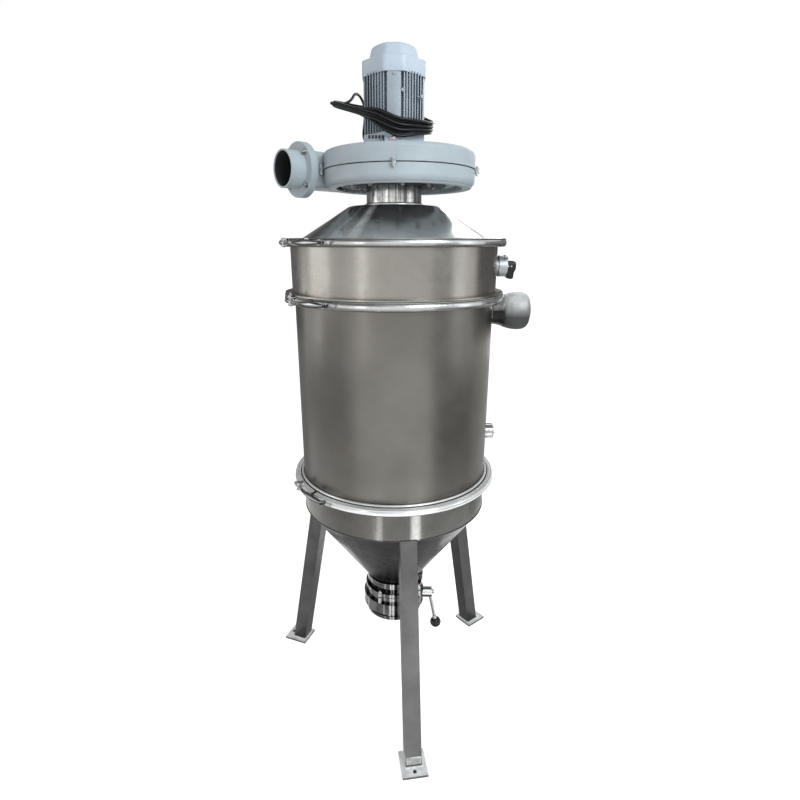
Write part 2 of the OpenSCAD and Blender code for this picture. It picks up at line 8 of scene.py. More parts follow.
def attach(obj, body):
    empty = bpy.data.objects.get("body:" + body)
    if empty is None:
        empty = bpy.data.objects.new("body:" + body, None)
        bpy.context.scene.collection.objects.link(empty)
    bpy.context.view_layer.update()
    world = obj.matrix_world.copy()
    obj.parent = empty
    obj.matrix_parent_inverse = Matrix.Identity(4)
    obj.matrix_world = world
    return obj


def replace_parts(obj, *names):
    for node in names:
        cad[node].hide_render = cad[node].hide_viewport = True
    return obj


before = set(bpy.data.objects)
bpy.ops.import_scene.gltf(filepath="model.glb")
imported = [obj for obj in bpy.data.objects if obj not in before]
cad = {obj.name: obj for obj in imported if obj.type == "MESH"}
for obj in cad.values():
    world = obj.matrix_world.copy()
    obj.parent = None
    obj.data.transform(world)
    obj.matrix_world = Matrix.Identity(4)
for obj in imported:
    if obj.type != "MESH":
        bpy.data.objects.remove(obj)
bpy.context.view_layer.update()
print("frame loaded:", len(cad), "nodes")

# Camera: in front of the drum, level with the upper clamps, looking down a little

cameraSettings = {"place": (0, -1.6393, 1.5578), "lookDown": 17.4, "lens": 23.54, "shift": (0.0075, 0.0077)}

cameraData = bpy.data.cameras.new("camera")
cameraData.lens = cameraSettings["lens"]
cameraData.shift_x, cameraData.shift_y = cameraSettings["shift"]
camera = bpy.data.objects.new("camera", cameraData)
camera.location = cameraSettings["place"]
camera.rotation_euler = (math.radians(90 - cameraSettings["lookDown"]), 0, 0)
bpy.context.scene.collection.objects.link(camera)
bpy.context.scene.camera = camera
print("camera placed")


# Helpers for nodes

class Wire:
    # A node's output that takes part in sums with numbers and with other wires
    def __init__(self, socket):
        self.socket, self.tree = socket, socket.id_data

    def calc(self, operation, other=0.0, flip=False):
        pair = (other, self) if flip else (self, other)
        return addNode(self.tree, "Math", dict(enumerate(pair)), operation=operation)[0]

    def __add__(self, other):
        return self.calc("ADD", other)

    def __radd__(self, other):
        return self.calc("ADD", other, True)

    def __sub__(self, other):
        return self.calc("SUBTRACT", other)

    def __rsub__(self, other):
        return self.calc("SUBTRACT", other, True)

    def __mul__(self, other):
        return self.calc("MULTIPLY", other)

    def __truediv__(self, other):
        return self.calc("DIVIDE", other)

    def __rtruediv__(self, other):
        return self.calc("DIVIDE", other, True)


def connect(value, target):
    if isinstance(value, Wire):
        value.tree.links.new(value.socket, target)
    else:
        target.default_value = value


def addNode(tree, kind, inputs=None, **settings):
    # Returns the new node's outputs, by number and by name
    node = tree.nodes.new(kind if "Node" in kind else "ShaderNode" + kind)
    for key, value in settings.items():
        setattr(node, key, value)
    for key, value in (inputs or {}).items():
        connect(value, node.inputs[key])
    return {key: Wire(socket) for number, socket in enumerate(node.outputs) for key in (socket.name, number)}


def axes(tree, kind, label):
    return addNode(tree, "SeparateXYZ", {0: addNode(tree, kind)[label]})


def vectorMath(first, second, operation="MULTIPLY"):
    return addNode(first.tree, "VectorMath", {0: first, 1: second}, operation=operation)


def mapRange(value, low, high, newLow=0.0, newHigh=1.0):
    limits = {"From Min": low, "From Max": high, "To Min": newLow, "To Max": newHigh}
    return addNode(value.tree, "MapRange", {"Value": value, **limits})[0]


def noiseAt(place, scale, detail, rough, distortion=0.0):
    values = {"Vector": place, "Scale": scale, "Detail": detail, "Roughness": rough, "Distortion": distortion}
    return addNode(place.tree, "TexNoise", values)[0]


def mixColour(factor, first, second):
    pair = [c if isinstance(c, Wire) else (*c, 1) for c in (first, second)]
    return addNode(factor.tree, "Mix", {0: factor, 6: pair[0], 7: pair[1]}, data_type="RGBA")[2]


def newGroup(name, inputs, build, outputs):
    tree = bpy.data.node_groups.new(name, "ShaderNodeTree")
    for label, value in inputs.items():
        kind = "NodeSocketVector" if isinstance(value, tuple) else "NodeSocketFloat"
        tree.interface.new_socket(label, in_out="INPUT", socket_type=kind).default_value = value
    for label in outputs:
        tree.interface.new_socket(label, in_out="OUTPUT", socket_type="NodeSocketFloat")
    place = addNode(tree, "TexCoord")["Object"]
    made = build(place, addNode(tree, "NodeGroupInput"))
    addNode(tree, "NodeGroupOutput", dict(zip(outputs, made)))
    return tree


# Shader groups that several finishes share

def buildGrain(place, given):
    stretched = vectorMath(place, given["Stretch"])[0]
    lines = noiseAt(stretched, 1.0, given["Detail"], 0.65)
    rare = noiseAt(vectorMath(stretched, (2.6, 2.6, 0.31))[0], 1.0, 5.0, 0.8)
    return lines, mapRange(rare, 0.64, 0.72)


def buildMottle(place, given):
    scale = 1.0 / given["Size"]
    squash = addNode(place.tree, "CombineXYZ", {0: 1.0, 1: 1.0, 2: given["Upright"]})[0]
    tall = vectorMath(place, squash)[0]
    tone = noiseAt(place, scale, 4.0, 0.55)
    smudge = noiseAt(place, scale * 5.3, 6.0, 0.62, 0.6)
    return tone, smudge, noiseAt(tall, scale * 2.0, 1.5, 0.4)


def buildDust(place, given):
    flat = mapRange(axes(place.tree, "NewGeometry", "Normal")[2], given["Steepness"], 1.0)
    return [flat * mapRange(noiseAt(place, 1.0 / given["Size"], 7.0, 0.7), 0.35, 0.7)]


def buildSpeckle(place, given):
    scale = 1.0 / given["Size"]
    pits = addNode(place.tree, "TexVoronoi", {"Vector": place, "Scale": scale * 0.21},
                   feature="F1")["Distance"]
    return noiseAt(place, scale, 3.0, 0.55), mapRange(pits, 0.05, 0.16, 1.0, 0.0)


grainGroup = newGroup("brushed grain", {"Stretch": (3.0, 3.0, 900.0), "Detail": 3.0}, buildGrain,
                      ["Lines", "Scratches"])
mottleGroup = newGroup("soft mottle", {"Size": 0.3, "Upright": 0.15}, buildMottle,
                       ["Tone", "Smudge", "Waves"])
dustGroup = newGroup("settled dust", {"Size": 0.02, "Steepness": 0.55}, buildDust, ["Mask"])
speckleGroup = newGroup("cast speckle", {"Size": 0.002}, buildSpeckle, ["Peel", "Pits"])


def useGroup(tree, group, **inputs):
    return addNode(tree, "Group", inputs, node_tree=group)


def newMaterial(name):
    material = bpy.data.materials.new(name)
    material.use_nodes = True
    return material, material.node_tree


finishes = {}
# The colour of the painted highlight streaks, and the dust's colour
highlightColour, dustColour = (0.9, 0.9, 0.88), (0.42, 0.4, 0.37)
bumpSettings = {"Strength": 0.6, "Distance": 0.0005}


def makeFinish(name, dark, light, rough, metal=1.0, grain=(3.0, 3.0, 900.0), grainAndStripeTone=0.3, grainDepth=0.1,
               mottle=0.3, upright=0.15, contrast=1.0, waves=0.0, dust=0.0, peel=0.0, peelSize=0.002,
               scratches=0.0, level=0.5, paintedShadeBelow=None, paintedUnderShade=None, paintedHighlights=()):
    finishes[name], tree = newMaterial(name)
    lines = useGroup(tree, grainGroup, Stretch=grain)
    soft = useGroup(tree, mottleGroup, Size=mottle, Upright=upright)
    reach = 0.25 / contrast
    tone = mapRange(soft["Tone"], 0.5 - reach, 0.5 + reach) + (lines["Lines"] - 0.5) * (grainAndStripeTone * 2)
    colour = mixColour(tone, dark, light)
    highlightWhere = 1.0

    def darken(where, share):
        return mixColour(where, colour, mixColour(tone, [c * share for c in dark],
                                                  [c * share for c in light]))

    if paintedShadeBelow:
        # Painted shade: the sheet is darker below this height
        part = mapRange(axes(tree, "TexCoord", "Object")[2], paintedShadeBelow[0], paintedShadeBelow[0] - 0.004)
        colour = darken(part, paintedShadeBelow[1])
        highlightWhere = 1.0 - part
    if paintedUnderShade:
        # Painted shade: darker as the surface turns down
        colour = darken(mapRange(axes(tree, "NewGeometry", "Normal")[2], paintedUnderShade[0], paintedUnderShade[1]), paintedUnderShade[2])
    roughness = mapRange(soft["Smudge"], 0.3, 0.7, *rough)
    if paintedHighlights:
        # Painted highlights: light, rougher streaks that run outwards from the axis
        spot = axes(tree, "TexCoord", "Object")
        around = spot[1].calc("ARCTAN2", spot[0])
        highlightMask = 0.0
        for angle, width, strength in paintedHighlights:
            away = (around - math.radians(angle)).calc("ABSOLUTE")
            streak = mapRange(away, math.radians(width), math.radians(width * 0.3), 0.0, strength)
            highlightMask = streak.calc("MAXIMUM", highlightMask, True)
        highlightMask = highlightMask * mapRange(soft["Smudge"], 0.3, 0.55, 0.5, 1.0) * highlightWhere
        colour = mixColour(highlightMask, colour, highlightColour)
        roughness = roughness + highlightMask * 0.3
    height = lines["Lines"] * grainDepth
    if scratches:
        mark = lines["Scratches"] * scratches
        colour = mixColour(mark, colour, [min(1.0, c * 1.5 + 0.05) for c in light])
        roughness = roughness + mark * 0.15
    if peel:
        cast = useGroup(tree, speckleGroup, Size=peelSize)
        height = height + cast["Peel"] * peel - cast["Pits"] * (peel * 0.5)
    if dust:
        mask = useGroup(tree, dustGroup)["Mask"] * dust
        colour = mixColour(mask, colour, dustColour)
        roughness = roughness + mask * 0.4
        metal = metal and metal - mask
    bump = {"Height": height, **bumpSettings}
    if waves:
        bump["Normal"] = addNode(tree, "Bump", {"Height": soft["Waves"], "Strength": 1.0,
                                                "Distance": waves})[0]
    values = {"Metallic": metal, "Specular IOR Level": level, "Base Color": colour, "Roughness": roughness,
              "Normal": addNode(tree, "Bump", bump)[0]}
    for label, value in values.items():
        connect(value, tree.nodes["Principled BSDF"].inputs[label])


rolled = {"grain": (2.0, 2.0, 700.0), "grainAndStripeTone": 0.08, "grainDepth": 0.06, "waves": 0.004,
          "scratches": 0.02}
turned = {"grain": (2.0, 2.0, 1500.0), "grainAndStripeTone": 0.2, "grainDepth": 0.06, "waves": 0.0006}
drawn = {"grain": (900.0, 900.0, 6.0), "mottle": 0.12, "upright": 0.3, "waves": 0.0008, "scratches": 0.08}
moulded = {"metal": 0.0, "grainAndStripeTone": 0.0, "grainDepth": 0.0}
paint = {**moulded, "upright": 1.0, "contrast": 0.8}

# Several finishes below paint shade, darker as a surface turns down
makeFinish("drumSheet", (0.125, 0.117, 0.104), (0.215, 0.205, 0.188), (0.27, 0.36), **rolled, mottle=0.35)
makeFinish("upperSheet", (0.24, 0.227, 0.206), (0.365, 0.345, 0.315), (0.22, 0.32), **rolled, mottle=0.25)
makeFinish("lidSheet", (0.54, 0.54, 0.535), (0.8, 0.8, 0.79), (0.14, 0.23), grain=(2.0, 2.0, 500.0),
           grainAndStripeTone=0.08, grainDepth=0.03, mottle=0.2, upright=1.0, waves=0.003, scratches=0.03, dust=0.08,
           paintedHighlights=((-113.5, 6, 1.0), (-128, 3, 0.35), (-101, 4, 0.25), (-92, 9, 0.1)))
# The hopper's cone below its rim is painted darker as shade, and carries painted highlight streaks
makeFinish("hopperSheet", (0.075, 0.073, 0.067), (0.15, 0.145, 0.136), (0.2, 0.32), grain=(2.0, 2.0, 700.0),
           grainAndStripeTone=0.1, mottle=0.2, waves=0.004, scratches=0.04, paintedShadeBelow=(0.7225, 0.11),
           paintedHighlights=((-98, 2.2, 0.16), (-78, 3.4, 0.45)))
makeFinish("brightSteel", (0.25, 0.25, 0.247), (0.5, 0.5, 0.49), (0.1, 0.24), **turned, mottle=0.06,
           scratches=0.08)
# The neck's strong light and dark vertical stripes, carried by the grain, are painted reflections
makeFinish("neckSteel", (0.2, 0.2, 0.196), (0.76, 0.76, 0.74), (0.1, 0.22), grain=(115.0, 115.0, 3.0),
           grainAndStripeTone=1.9, grainDepth=0.3, mottle=0.03, waves=0.0006, scratches=0.05)
makeFinish("valveSteel", (0.035, 0.035, 0.034), (0.14, 0.14, 0.136), (0.07, 0.16), grain=(70.0, 70.0, 3.0),
           grainAndStripeTone=0.9, grainDepth=0.2, mottle=0.05, waves=0.0006, scratches=0.05, paintedUnderShade=(0.0, -0.6, 0.5),
           paintedHighlights=((-97, 2.5, 0.7), (-91.5, 2.5, 0.8), (-109, 2, 0.25), (-150, 7, 0.45), (28, 6, 0.6),
                    (97, 7, 0.4)))
makeFinish("bandSteel", (0.5, 0.5, 0.49), (0.78, 0.78, 0.76), (0.14, 0.26), **turned, metal=0.9, mottle=0.08,
           scratches=0.1, paintedUnderShade=(0.1, -0.5, 0.22))
makeFinish("fixingSteel", (0.36, 0.36, 0.35), (0.62, 0.62, 0.6), (0.2, 0.36), grain=(900.0, 900.0, 900.0),
           mottle=0.02, scratches=0.1, dust=0.1, paintedUnderShade=(0.0, -0.5, 0.35))
makeFinish("gapShadowSteel", (0.02, 0.02, 0.019), (0.06, 0.058, 0.055), (0.25, 0.45), grain=(900.0, 900.0, 300.0),
           mottle=0.02, scratches=0.1)
makeFinish("legTube", (0.085, 0.085, 0.083), (0.16, 0.16, 0.156), (0.26, 0.42), **drawn)
makeFinish("shadedTube", (0.048, 0.048, 0.046), (0.092, 0.092, 0.088), (0.26, 0.42), **drawn)
makeFinish("leverSteel", (0.6, 0.6, 0.59), (0.85, 0.85, 0.84), (0.2, 0.32), grain=(900.0, 900.0, 30.0),
           grainAndStripeTone=0.2, mottle=0.02, scratches=0.1, paintedUnderShade=(0.12, -0.22, 0.07))
makeFinish("shoeSteel", (0.3, 0.3, 0.295), (0.85, 0.85, 0.84), (0.25, 0.45), metal=0.3,
           grain=(40.0, 900.0, 900.0), mottle=0.02, contrast=1.6, scratches=0.15)
makeFinish("footSteel", (0.58, 0.58, 0.57), (0.97, 0.97, 0.955), (0.25, 0.5), metal=0.2,
           grain=(40.0, 900.0, 900.0), mottle=0.03, contrast=1.4, scratches=0.15, dust=0.15,
           paintedUnderShade=(0.5, 0.2, 0.1))
makeFinish("weldSteel", (0.07, 0.066, 0.06), (0.17, 0.16, 0.146), (0.3, 0.5), grain=(600.0, 600.0, 600.0),
           grainAndStripeTone=0.4, mottle=0.015, scratches=0.1)
makeFinish("blowerPaint", (0.355, 0.4, 0.425), (0.465, 0.52, 0.55), (0.38, 0.55), **paint, mottle=0.12,
           peel=0.5, peelSize=0.0022, dust=0.18, level=0.4)
makeFinish("motorPaint", (0.29, 0.33, 0.37), (0.41, 0.46, 0.51), (0.36, 0.52), **paint, mottle=0.06,
           peel=0.35, peelSize=0.0016, dust=0.2, level=0.4)
makeFinish("cowlPaint", (0.46, 0.52, 0.59), (0.56, 0.63, 0.71), (0.32, 0.46), **paint, mottle=0.08, peel=0.2,
           peelSize=0.0014, dust=0.15, level=0.45)
makeFinish("shadedPaint", (0.034, 0.038, 0.042), (0.07, 0.077, 0.083), (0.5, 0.7), **moulded, mottle=0.06,
           upright=1.0, peel=0.4, level=0.3)
makeFinish("ringSteel", (0.78, 0.78, 0.765), (0.95, 0.95, 0.93), (0.16, 0.28), **turned, metal=0.6,
           mottle=0.08, scratches=0.08, paintedUnderShade=(-0.2, -0.7, 0.2))
makeFinish("neckShade", (0.55, 0.55, 0.54), (0.8, 0.8, 0.79), (0.2, 0.34), metal=0.85,
           grain=(2.0, 900.0, 900.0), grainAndStripeTone=0.2, mottle=0.03, waves=0.0006, scratches=0.1,
           paintedUnderShade=(0.42, 0.1, 0.03))
makeFinish("filmWrap", (0.48, 0.48, 0.475), (0.8, 0.8, 0.79), (0.56, 0.66), metal=0.5,
           grain=(60.0, 60.0, 8.0), grainAndStripeTone=0.4, grainDepth=0.2, mottle=0.035, upright=0.8, waves=0.0018,
           scratches=0.1, paintedUnderShade=(0.8, -0.25, 0.1), level=0.6)
makeFinish("castMetal", (0.3, 0.31, 0.32), (0.48, 0.49, 0.5), (0.36, 0.55), **{**moulded, "metal": 0.9},
           mottle=0.03, peel=0.5, peelSize=0.0012, dust=0.1)
makeFinish("blackPlastic", (0.006, 0.006, 0.007), (0.013, 0.013, 0.014), (0.36, 0.55), **moulded, mottle=0.02,
           peel=0.3, peelSize=0.0008, dust=0.04, level=0.3)
makeFinish("knobPlastic", (0.006, 0.006, 0.007), (0.014, 0.014, 0.015), (0.1, 0.22), **moulded, mottle=0.012,
           peel=0.05, peelSize=0.001, dust=0.02, level=0.35)
makeFinish("gasketRubber", (0.012, 0.012, 0.012), (0.035, 0.034, 0.033), (0.55, 0.8), metal=0.0,
           grain=(300.0, 300.0, 300.0), mottle=0.03, peel=0.4, peelSize=0.0007)
# Black that paints shade: in the duct, the vents, the anchor holes, round the neck's top and under the
# casing's lip, with some dust
makeFinish("shadeBlack", (0.008, 0.008, 0.009), (0.018, 0.018, 0.02), (0.6, 0.8), metal=0.0, grainAndStripeTone=0.2,
           grain=(500.0, 500.0, 500.0), mottle=0.02, peel=0.3, dust=0.3)
makeFinish("cableSheath", (0.005, 0.005, 0.006), (0.012, 0.012, 0.014), (0.26, 0.4), **moulded, mottle=0.03,
           peel=0.15, peelSize=0.0012, dust=0.03, level=0.3)

nodeFinishes = {
    "upperSheet": "upper_drum", "lidSheet": "lid", "hopperSheet": "hopper", "legTube": "leg_front",
    "shadedTube": "leg_right leg_left", "footSteel": "foot_plate_front foot_plate_right foot_plate_left",
    "gapShadowSteel": "latch_lever_top latch_lever_middle latch_lever_bottom", "neckSteel": "neck_pipe",
    "valveSteel": "outlet_clamp valve_collar valve_ring dust_spigot valve_disc",
    "brightSteel": "inlet_pipe side_port",
    "leverSteel": "valve_lever", "castMetal": "pulse_valve", "blackPlastic": "cable_gland",
    "knobPlastic": "valve_knob",
    "gasketRubber": "valve_gasket", "blowerPaint": "casing_lower casing_upper discharge_collar",
    # The motor base takes the cowl's lighter paint: painted light against the shade on its front
    "shadedPaint": "suction_plate", "motorPaint": "motor_body terminal_box", "cowlPaint": "motor_base",
}
for finishName, members in nodeFinishes.items():
    for member in members.split():
        cad[member].data.materials.clear()
        cad[member].data.materials.append(finishes[finishName])
print("finishes made:", len(finishes))


# Helpers for shapes

def addObject(name, data):
    piece = bpy.data.objects.new(name, data)
    bpy.context.scene.collection.objects.link(piece)
    return piece


def give(piece, body, finish):
    if finish:
        piece.data.materials.clear()
        piece.data.materials.append(finishes[finish])
    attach(piece, body)
    return piece


def meshPiece(name, shells, sharp=35):
    mesh = bpy.data.meshes.new(name)
    points, faces = [], []
    for shellPoints, shellFaces in shells:
        faces += [[i + len(points) for i in face] for face in shellFaces]
        points += [tuple(p) for p in shellPoints]
    mesh.from_pydata(points, [], faces)
    work = bmesh.new()
    work.from_mesh(mesh)
    bmesh.ops.recalc_face_normals(work, faces=work.faces)
    work.to_mesh(mesh)
    work.free()
    mesh.shade_smooth()
    mesh.set_sharp_from_angle(angle=math.radians(sharp))
    return addObject(name, mesh)


def vesselPiece(name, shells, finish, sharp=35):
    return give(meshPiece(name, shells, sharp), "vessel", finish)


def shift(*place):
    return Matrix.Translation(place)


def turn(angle, axis="Z", size=4):
    return Matrix.Rotation(math.radians(angle), size, axis)


def facing(direction, place):
    return Matrix.Translation(place) @ Vector(direction).to_track_quat("Z", "Y").to_matrix().to_4x4()


def polar(radius, angle, z=0.0):
    return Vector((radius * math.cos(math.radians(angle)), radius * math.sin(math.radians(angle)), z))


def tube(inner, outer, low, high):
    return [(inner, low), (outer, low), (outer, high), (inner, high)]


def stub(radius, low, high, edge=0.001):
    # A solid round with softened rims
    inner = radius - edge
    return [(0, low), (inner, low), (radius, low + edge), (radius, high - edge), (inner, high), (0, high)]


def lathe(profile, place=None, steps=48, closed=False):
    points, rings = [], []
    for radius, z in profile:
        count = steps if radius > 1e-7 else 1
        rings.append([len(points) + i for i in range(count)])
        points += [Vector((radius * math.cos(2 * math.pi * i / steps),
                           radius * math.sin(2 * math.pi * i / steps), z))
                   for i in range(count)]
    faces = []
    for low, high in list(zip(rings, rings[1:])) + ([(rings[-1], rings[0])] if closed else []):
        for i in range(steps):
            j = (i + 1) % steps
            face = list(dict.fromkeys([low[i % len(low)], low[j % len(low)], high[j % len(high)],
                                       high[i % len(high)]]))
            if len(face) > 2:
                faces.append(face)
    place = place or Matrix.Identity(4)
    return [place @ p for p in points], faces


def smoothLine(points, steps):
    points = [Vector(p) for p in points]
    line = []
    for i in range(len(points) - 1):
        before, start, end = points[max(0, i - 1)], points[i], points[i + 1]
        after = points[min(len(points) - 1, i + 2)]
        for step in range(steps):
            t = step / steps
            bend = 2 * before - 5 * start + 4 * end - after
            line.append(0.5 * (2 * start + (end - before) * t + bend * t ** 2
                               + (3 * start - before - 3 * end + after) * t ** 3))
    return line + [points[-1]]


def bridge(levels, count, wrap=False):
    # Faces between levels of equal count, each level a closed round
    last = levels if wrap else levels - 1
    return [[a * count + i, a * count + (i + 1) % count, (a + 1) % levels * count + (i + 1) % count,
             (a + 1) % levels * count + i] for a in range(last) for i in range(count)]


def sweep(path, radii, sides=12):
    path = [Vector(p) for p in path]
    radii = radii if isinstance(radii, list) else [radii] * len(path)
    points, side = [path[0]], None
    for i, centre in enumerate(path):
        along = (path[min(i + 1, len(path) - 1)] - path[max(i - 1, 0)]).normalized()
        if side is None:
            side = along.orthogonal().normalized()
        side = (side - along * side.dot(along)).normalized()
        other = along.cross(side)
        angles = [2 * math.pi * k / sides for k in range(sides)]
        points += [centre + radii[i] * (side * math.cos(a) + other * math.sin(a)) for a in angles]
    points.append(path[-1])
    faces = [[1 + k for k in face] for face in bridge(len(path), sides)]
    last = 1 + (len(path) - 1) * sides
    for k in range(sides):
        j = (k + 1) % sides
        faces += [[0, 1 + j, 1 + k], [len(points) - 1, last + k, last + j]]
    return points, faces


def slab(outline, low, high, place=None, edge=0.0006):
    # A flat plate with softened rims: outline in x and y, from low to high
    count = len(outline)
    centre = Vector((sum(p[0] for p in outline) / count, sum(p[1] for p in outline) / count))
    points = []
    for inset, z in ((edge, low), (0.0, low + edge), (0.0, high - edge), (edge, high)):
        for p in outline:
            spot = Vector(p) - (Vector(p) - centre).normalized() * inset * 1.4
            points.append(Vector((spot.x, spot.y, z)))
    faces = bridge(4, count) + [list(range(count))[::-1], [3 * count + i for i in range(count)]]
    place = place or Matrix.Identity(4)
    return [place @ p for p in points], faces


def roundedBox(width, height, corner, steps=5):
    spots = []
    for start, sx, sy in ((0, 1, 1), (90, -1, 1), (180, -1, -1), (270, 1, -1)):
        for i in range(steps + 1):
            a = math.radians(start + 90 * i / steps)
            spots.append((sx * (width / 2 - corner) + corner * math.cos(a),
                          sy * (height / 2 - corner) + corner * math.sin(a)))
    return spots


def arcRing(profile, z, start=0, end=360, steps=180):
    # A closed profile carried round the drum's axis, capped where it stops short of a full turn
    full, count = end - start >= 360, len(profile)
    rows = steps if full else steps + 1
    points = [polar(r, start + (end - start) * i / steps, z + h) for i in range(rows) for r, h in profile]
    faces = bridge(rows, count, full)
    if not full:
        faces += [list(range(count)), [steps * count + k for k in range(count)][::-1]]
    return points, faces


def stackRings(rings):
    # Rings of equal count joined in order, closed by a fan at each end
    count = len(rings[0])
    points = [p for ring in rings for p in ring]
    faces = bridge(len(rings), count)
    for ring, first in ((rings[0], 0), (rings[-1], (len(rings) - 1) * count)):
        points.append(sum(ring, Vector()) / count)
        faces += [[len(points) - 1, first + i, first + (i + 1) % count] for i in range(count)]
    return points, faces


# Power cable: out of the gland, up into a coil that hangs round the motor

cableSettings = {
    "diameter": 0.0075,
    "route": [(-64, 108, 1834), (-74, 108.5, 1835), (-83.5, 110.5, 1839.5), (-90, 114, 1849),
              (-92.5, 118, 1862), (-92, 121, 1877), (-90, 123, 1893), (-88, 123.5, 1912), (-87.5, 122, 1931),
              (-89, 119, 1947), (-93, 113.5, 1961.5), (-98.5, 105.5, 1972), (-104.5, 95.5, 1977),
              (-110, 85, 1975), (-114, 75, 1968), (-117, 65, 1958.5), (-121, 54.5, 1949.5),
              (-126.5, 44, 1941.5), (-133, 33.5, 1935.5)],
    "coilCentre": (-0.033, 0, 1.896), "coilTilt": (14.6, 12.5), "near": (0.0325, 0.1113),
    "far": (-0.0888, 0.055),
    "packed": [(-0.0225, 0.004), (-0.0148, 0.004), (-0.0071, 0.004), (0, 0), (-0.0071, -0.004),
               (-0.0148, -0.004), (-0.0225, -0.004)],
    "spread": [(0, 0.0205), (-0.0078, 0.0145), (0, 0.0075), (-0.0078, 0.0005), (0, -0.006),
               (-0.0078, -0.0125), (0, -0.019)],
    "pointsPerTurn": 44, "unevenness": 0.002, "turns": 6.7, "sag": 0.011, "tightest": 0.034,
    # Each pair is a start and the length over which the change takes place
    "fanOut": (-0.1, 0.13), "stepOver": (0.55, 0.4), "closeUp": (0.07, 0.065), "closeShare": 0.38,
    "frontDepth": 0.111,
    # Place, width and weight of each low part of the bundle
    "hangs": ((0.055, 0.05, 1.0), (-0.02, 0.05, -0.25)),
    "routeSteps": 6, "easePasses": 400, "easeReach": 12, "tipSteps": 5, "tipLength": 0.012,
}
coilPlace = (shift(*cableSettings["coilCentre"])
             @ (turn(cableSettings["coilTilt"][1], "Y") @ turn(cableSettings["coilTilt"][0], "X")))


def coilPoint(part, settings):
    # A point on an egg-shaped turn at that part of it, from the far end's start, and the way out from there
    (nearX, nearR), (farX, farR) = settings["near"], settings["far"]
    gap = nearX - farX
    lean = math.asin((nearR - farR) / gap)
    straight = gap * math.cos(lean)
    lengths = (farR * (math.pi - 2 * lean), straight, nearR * (math.pi + 2 * lean), straight)
    travel = (part % 1.0) * sum(lengths)
    for middle, radius, start, sign in ((farX, farR, math.pi / 2 + lean, -1),
                                        (nearX, nearR, -math.pi / 2 - lean, 1)):
        if travel < lengths[0]:
            a = start + travel / radius
            out = Vector((math.cos(a), math.sin(a), 0))
            return Vector((middle + radius * math.cos(a), radius * math.sin(a), 0)), out
        travel -= lengths[0]
        if travel < lengths[1] or sign > 0:
            out = Vector((-math.sin(lean), sign * math.cos(lean), 0))
            along = Vector((-sign * math.cos(lean), -math.sin(lean), 0))
            return Vector((middle, 0, 0)) + out * radius + along * travel, out
        travel -= lengths[1]
        lengths = lengths[2:]


def clamp(value):
    return min(1.0, max(0.0, value))


def ease(value, start, length):
    value = clamp((value - start) / length)
    return value * value * (3 - 2 * value)


def makeCable(settings):
    packed, spread = settings["packed"], settings["spread"]
    wound = []
    steps = settings["pointsPerTurn"]
    for i in range(int(settings["turns"] * steps) + 1):
        part = i / steps
        number, share = min(int(part), len(packed) - 1), part % 1.0
        spot, out = coilPoint(part, settings)
        wide = ease(spot.x, *settings["fanOut"])
        # Each turn steps over to the next one's place behind the motor
        step = ease(share, *settings["stepOver"])
        following = min(number + 1, len(packed) - 1)
        offset = [((packed[number][k] * (1 - wide) + spread[number][k] * wide) * (1 - step)
                   + (packed[following][k] * (1 - wide) + spread[following][k] * wide) * step)
                  for k in (0, 1)]
        seed = Vector((share * 2.6, number * 9.0, 0.5))
        loose = settings["unevenness"] * wide
        # The turns close up again at the right
        start, length = settings["closeUp"]
        close = 1 - settings["closeShare"] * clamp((spot.x - start) / length)
        # The bundle hangs lowest in front of the motor
        hang = sum(weight * math.exp(-((spot.x - at) / width) ** 2)
                   for at, width, weight in settings["hangs"])
        droop = settings["sag"] * max(0.0, -spot.y / settings["frontDepth"]) * hang
        rise = offset[1] * close - droop + loose * 1.6 * noise.noise(seed * 2.2 + Vector((0, 0, 7)))
        spot += out * (offset[0] + loose * noise.noise(seed * 1.9)) + Vector((0, 0, rise))
        wound.append(coilPlace @ spot)
    start = smoothLine([Vector(p) / 1000 for p in settings["route"]] + wound[1:2], settings["routeSteps"])
    line = start[:-1] + wound[1:]
    # Ease the route until nothing turns tighter than the cable would
    for _ in range(settings["easePasses"]):
        for i in range(2, len(start) + settings["easeReach"]):
            a, b, c = line[i - 1], line[i], line[i + 1]
            if (b - a).angle(c - b) * settings["tightest"] > ((b - a).length + (c - b).length) / 2:
                line[i] = b.lerp((a + c) / 2, 0.5)
    # The free end turns out of the bundle and droops
    for step in range(settings["tipSteps"]):
        tip = line[-1] + (line[-1] - line[-2]).normalized() * 0.02
        sink = Vector((0.0, -0.0003, -0.0006)) * step
        line.append(line[-1] + (tip - line[-2]).normalized() * settings["tipLength"] + sink)
    return line


cableLine = makeCable(cableSettings)
cableCurve = bpy.data.curves.new("power_cable_run", "CURVE")
cableCurve.dimensions = "3D"
cableCurve.bevel_depth = cableSettings["diameter"] / 2
cableCurve.bevel_resolution = 3
cableCurve.use_fill_caps = True
spline = cableCurve.splines.new("POLY")
spline.points.add(len(cableLine) - 1)
for point, spot in zip(spline.points, cableLine):
    point.co = (*spot, 1)
cableLength = sum((b - a).length for a, b in zip(cableLine, cableLine[1:]))
print("cable length", round(cableLength, 3), "m in", len(cableLine), "points")
cable = addObject("power_cable_run", cableCurve)
give(cable, "vessel", "cableSheath")
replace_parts(cable, "power_cable", "cable_coil")

reliefSettings = {"length": 0.03, "rootRadius": 0.0078, "tipRadius": 0.0046, "ribs": 7, "ribDepth": 0.0005,
                  "finer": 4}


